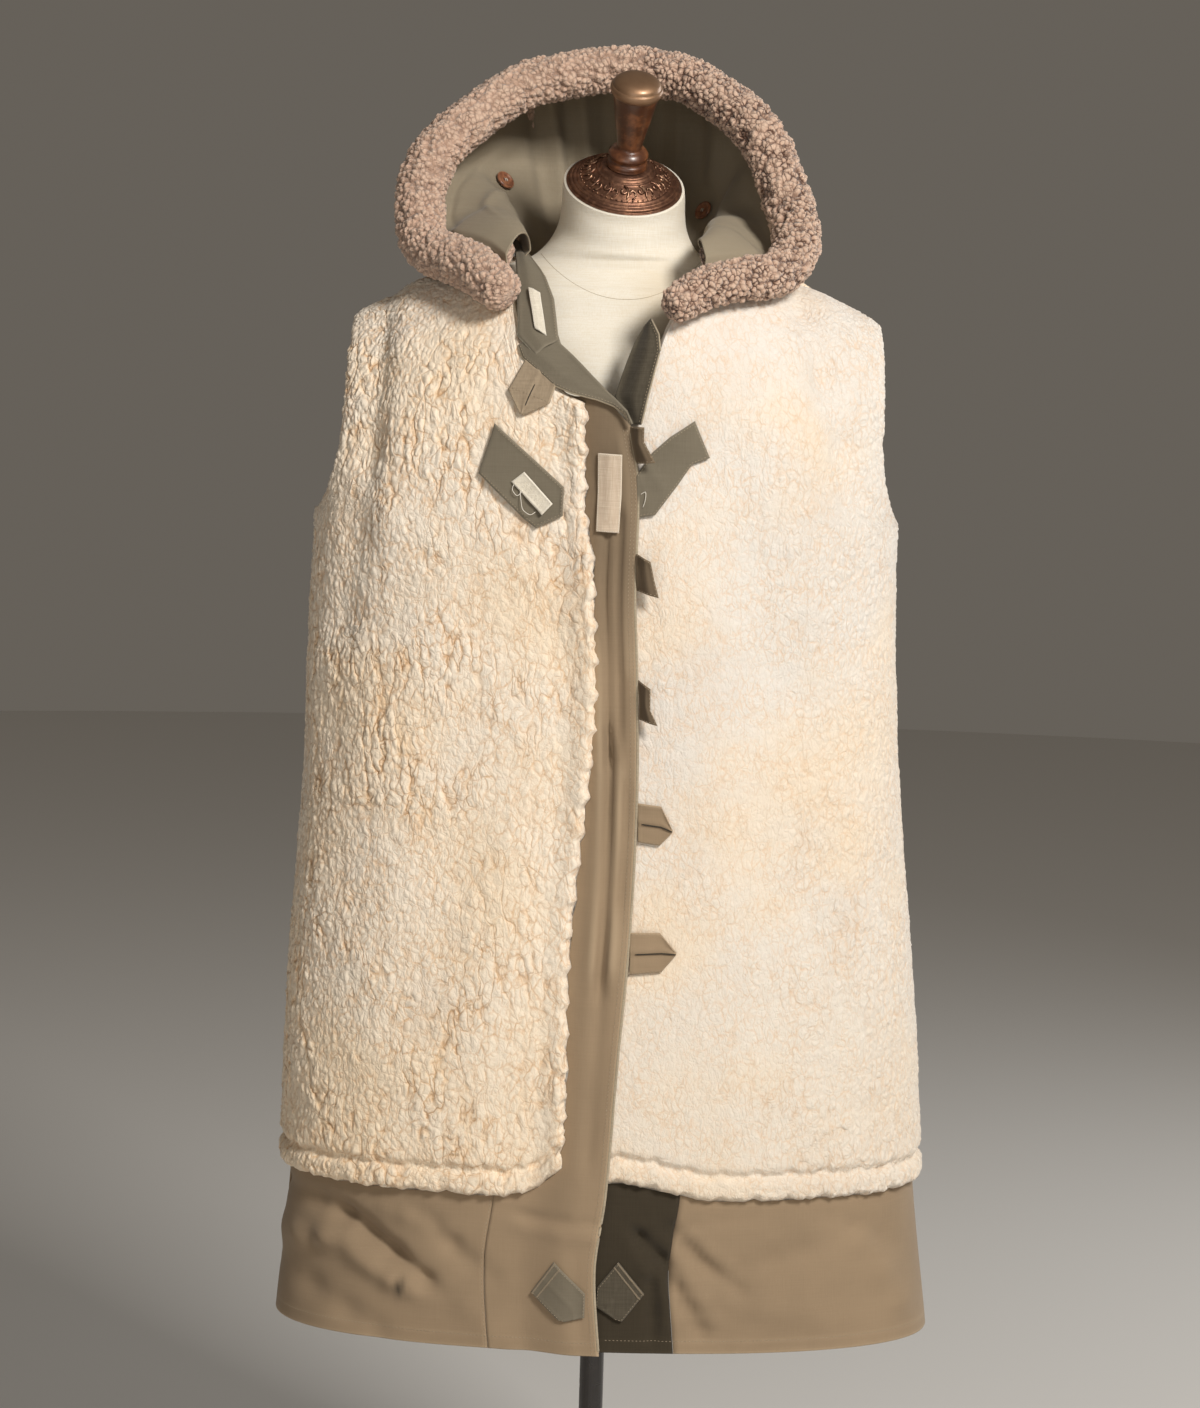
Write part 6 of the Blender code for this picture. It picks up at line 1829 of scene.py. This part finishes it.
def build_stage():
    stage = bpy.context.scene.coat_stage
    scene = bpy.context.scene
    scene.view_settings.view_transform = "Standard"
    work = bmesh.new()
    bmesh.ops.create_circle(work, cap_ends=True, segments=96, radius=9.0)
    mesh = bpy.data.meshes.new("floor")
    work.to_mesh(mesh)
    work.free()
    Finish("floor_pale", 0.85).set("Base Color", (0.72, 0.70, 0.67))
    mesh.materials.append(FINISHES["floor_pale"])
    floor = bpy.data.objects.new("floor", mesh)
    scene.collection.objects.link(floor)
    world = bpy.data.worlds.new("room")
    world.use_nodes = True
    back = world.node_tree.nodes["Background"]
    back.inputs["Color"].default_value = (0.74, 0.66, 0.56, 1.0)
    back.inputs["Strength"].default_value = stage.room
    scene.world = world
    for name, place, aim, size, power, tint in (
            ("key", (1.75, -2.9, 3.3), (0.0, 0.0, 1.15), 0.9, stage.key, (1.0, 0.965, 0.92)),
            ("fill", (-0.5, -3.4, 1.4), (0.0, 0.0, 1.2), 1.8, stage.fill, (1.0, 0.97, 0.93)),
            ("rear", (2.6, 1.9, 2.2), (0.0, 0.0, 1.2), 1.6, stage.key * 0.22, (0.97, 0.99, 1.0))):
        lamp = bpy.data.lights.new(name, "AREA")
        lamp.size = size
        lamp.energy = power
        lamp.color = tint
        light = bpy.data.objects.new(name, lamp)
        way = Vector(aim) - Vector(place)
        light.matrix_world = Matrix.Translation(place) @ way.to_track_quat("-Z", "Y").to_matrix().to_4x4()
        scene.collection.objects.link(light)
    lens = bpy.data.cameras.new("camera")
    lens.sensor_fit = "VERTICAL"
    lens.sensor_height = SENSOR
    lens.lens = LENS
    camera = bpy.data.objects.new("camera", lens)
    camera.matrix_world = (Matrix.Translation(CAMERA_AT) @ Matrix.Rotation(math.pi / 2 + CAMERA_PITCH, 4, "X")
                           @ Matrix.Rotation(CAMERA_ROLL, 4, "Z"))
    scene.collection.objects.link(camera)
    scene.camera = camera


# ---------------------------------------------------------------- operators
class COAT_OT_finishes(Operator):
    """Make the materials and the node groups that the pieces share"""
    bl_idname = "coat.finishes"
    bl_label = "Finishes"

    def execute(self, context):
        cloth_finishes()
        stand_finishes()
        relief_tree("wool relief", wool_pattern)
        relief_tree("fur relief", fur_pattern)
        stitch_tree("stitches", "Z")
        stitch_tree("whip stitches", "X")
        fur_finish("fur_curled", context.scene.coat_fur.curl)
        return {"FINISHED"}


class COAT_OT_wool(Operator):
    """Build the shearling of both fronts and the back"""
    bl_idname = "coat.wool"
    bl_label = "Wool"

    def execute(self, context):
        wool_front(-1)
        wool_front(1)
        wool_back()
        return {"FINISHED"}


class COAT_OT_canvas(Operator):
    """Build the canvas shell and its facings"""
    bl_idname = "coat.canvas"
    bl_label = "Canvas"

    def execute(self, context):
        canvas_panels()
        return {"FINISHED"}


class COAT_OT_front_pieces(Operator):
    """Build the tabs, straps, patches and neck edges with their stitches"""
    bl_idname = "coat.front_pieces"
    bl_label = "Tabs, straps and patches"

    def execute(self, context):
        front_pieces()
        return {"FINISHED"}


class COAT_OT_hood(Operator):
    """Build the hood: fur roll, fur outside, lining and buttons"""
    bl_idname = "coat.hood"
    bl_label = "Hood"

    def execute(self, context):
        build_roll()
        build_hood_fur()
        build_lining()
        build_buttons()
        return {"FINISHED"}


class COAT_OT_form(Operator):
    """Build the dress form's cover, neck cap and finial, and finish its stand"""
    bl_idname = "coat.form"
    bl_label = "Dress form"

    def execute(self, context):
        build_form()
        build_cap()
        for node, finish in (("pole", "pole_brown"), ("base", "pole_brown"), ("pole_collar", "bronze")):
            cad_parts[node].data.materials[0] = FINISHES[finish]
        return {"FINISHED"}


class COAT_OT_stage(Operator):
    """Lay the floor and set the lights and the camera"""
    bl_idname = "coat.stage"
    bl_label = "Stage"

    def execute(self, context):
        build_stage()
        return {"FINISHED"}


STEPS = [COAT_OT_stage, COAT_OT_finishes, COAT_OT_wool, COAT_OT_canvas, COAT_OT_front_pieces, COAT_OT_hood,
         COAT_OT_form]


class COAT_PT_panel(Panel):
    """Lists the coat's settings and its pieces"""
    bl_idname = "COAT_PT_panel"
    bl_label = "Shearling coat"
    bl_space_type = "VIEW_3D"
    bl_region_type = "UI"
    bl_category = "Coat"

    def draw(self, context):
        for group in ("coat_wool", "coat_fur", "coat_cloth", "coat_stand", "coat_stage"):
            settings = getattr(context.scene, group)
            box = self.layout.box()
            for name in settings.bl_rna.properties.keys():
                if name not in ("rna_type", "name"):
                    box.prop(settings, name)
        for step in STEPS:
            self.layout.operator(step.bl_idname)


GROUPS = {"coat_wool": WoolSettings, "coat_fur": FurSettings, "coat_cloth": ClothSettings,
          "coat_stand": StandSettings, "coat_stage": StageSettings}


def register():
    for group in GROUPS.values():
        bpy.utils.register_class(group)
    for name, group in GROUPS.items():
        setattr(bpy.types.Scene, name, PointerProperty(type=group))
    for step in STEPS:
        bpy.utils.register_class(step)
    bpy.utils.register_class(COAT_PT_panel)


def unregister():
    bpy.utils.unregister_class(COAT_PT_panel)
    for step in reversed(STEPS):
        bpy.utils.unregister_class(step)
    for name, group in GROUPS.items():
        delattr(bpy.types.Scene, name)
        bpy.utils.unregister_class(group)


def main():
    register()
    bpy.ops.coat.stage()
    bpy.ops.coat.finishes()
    bpy.ops.coat.wool()
    bpy.ops.coat.canvas()
    bpy.ops.coat.front_pieces()
    bpy.ops.coat.hood()
    bpy.ops.coat.form()


if __name__ == "__main__":
    main()
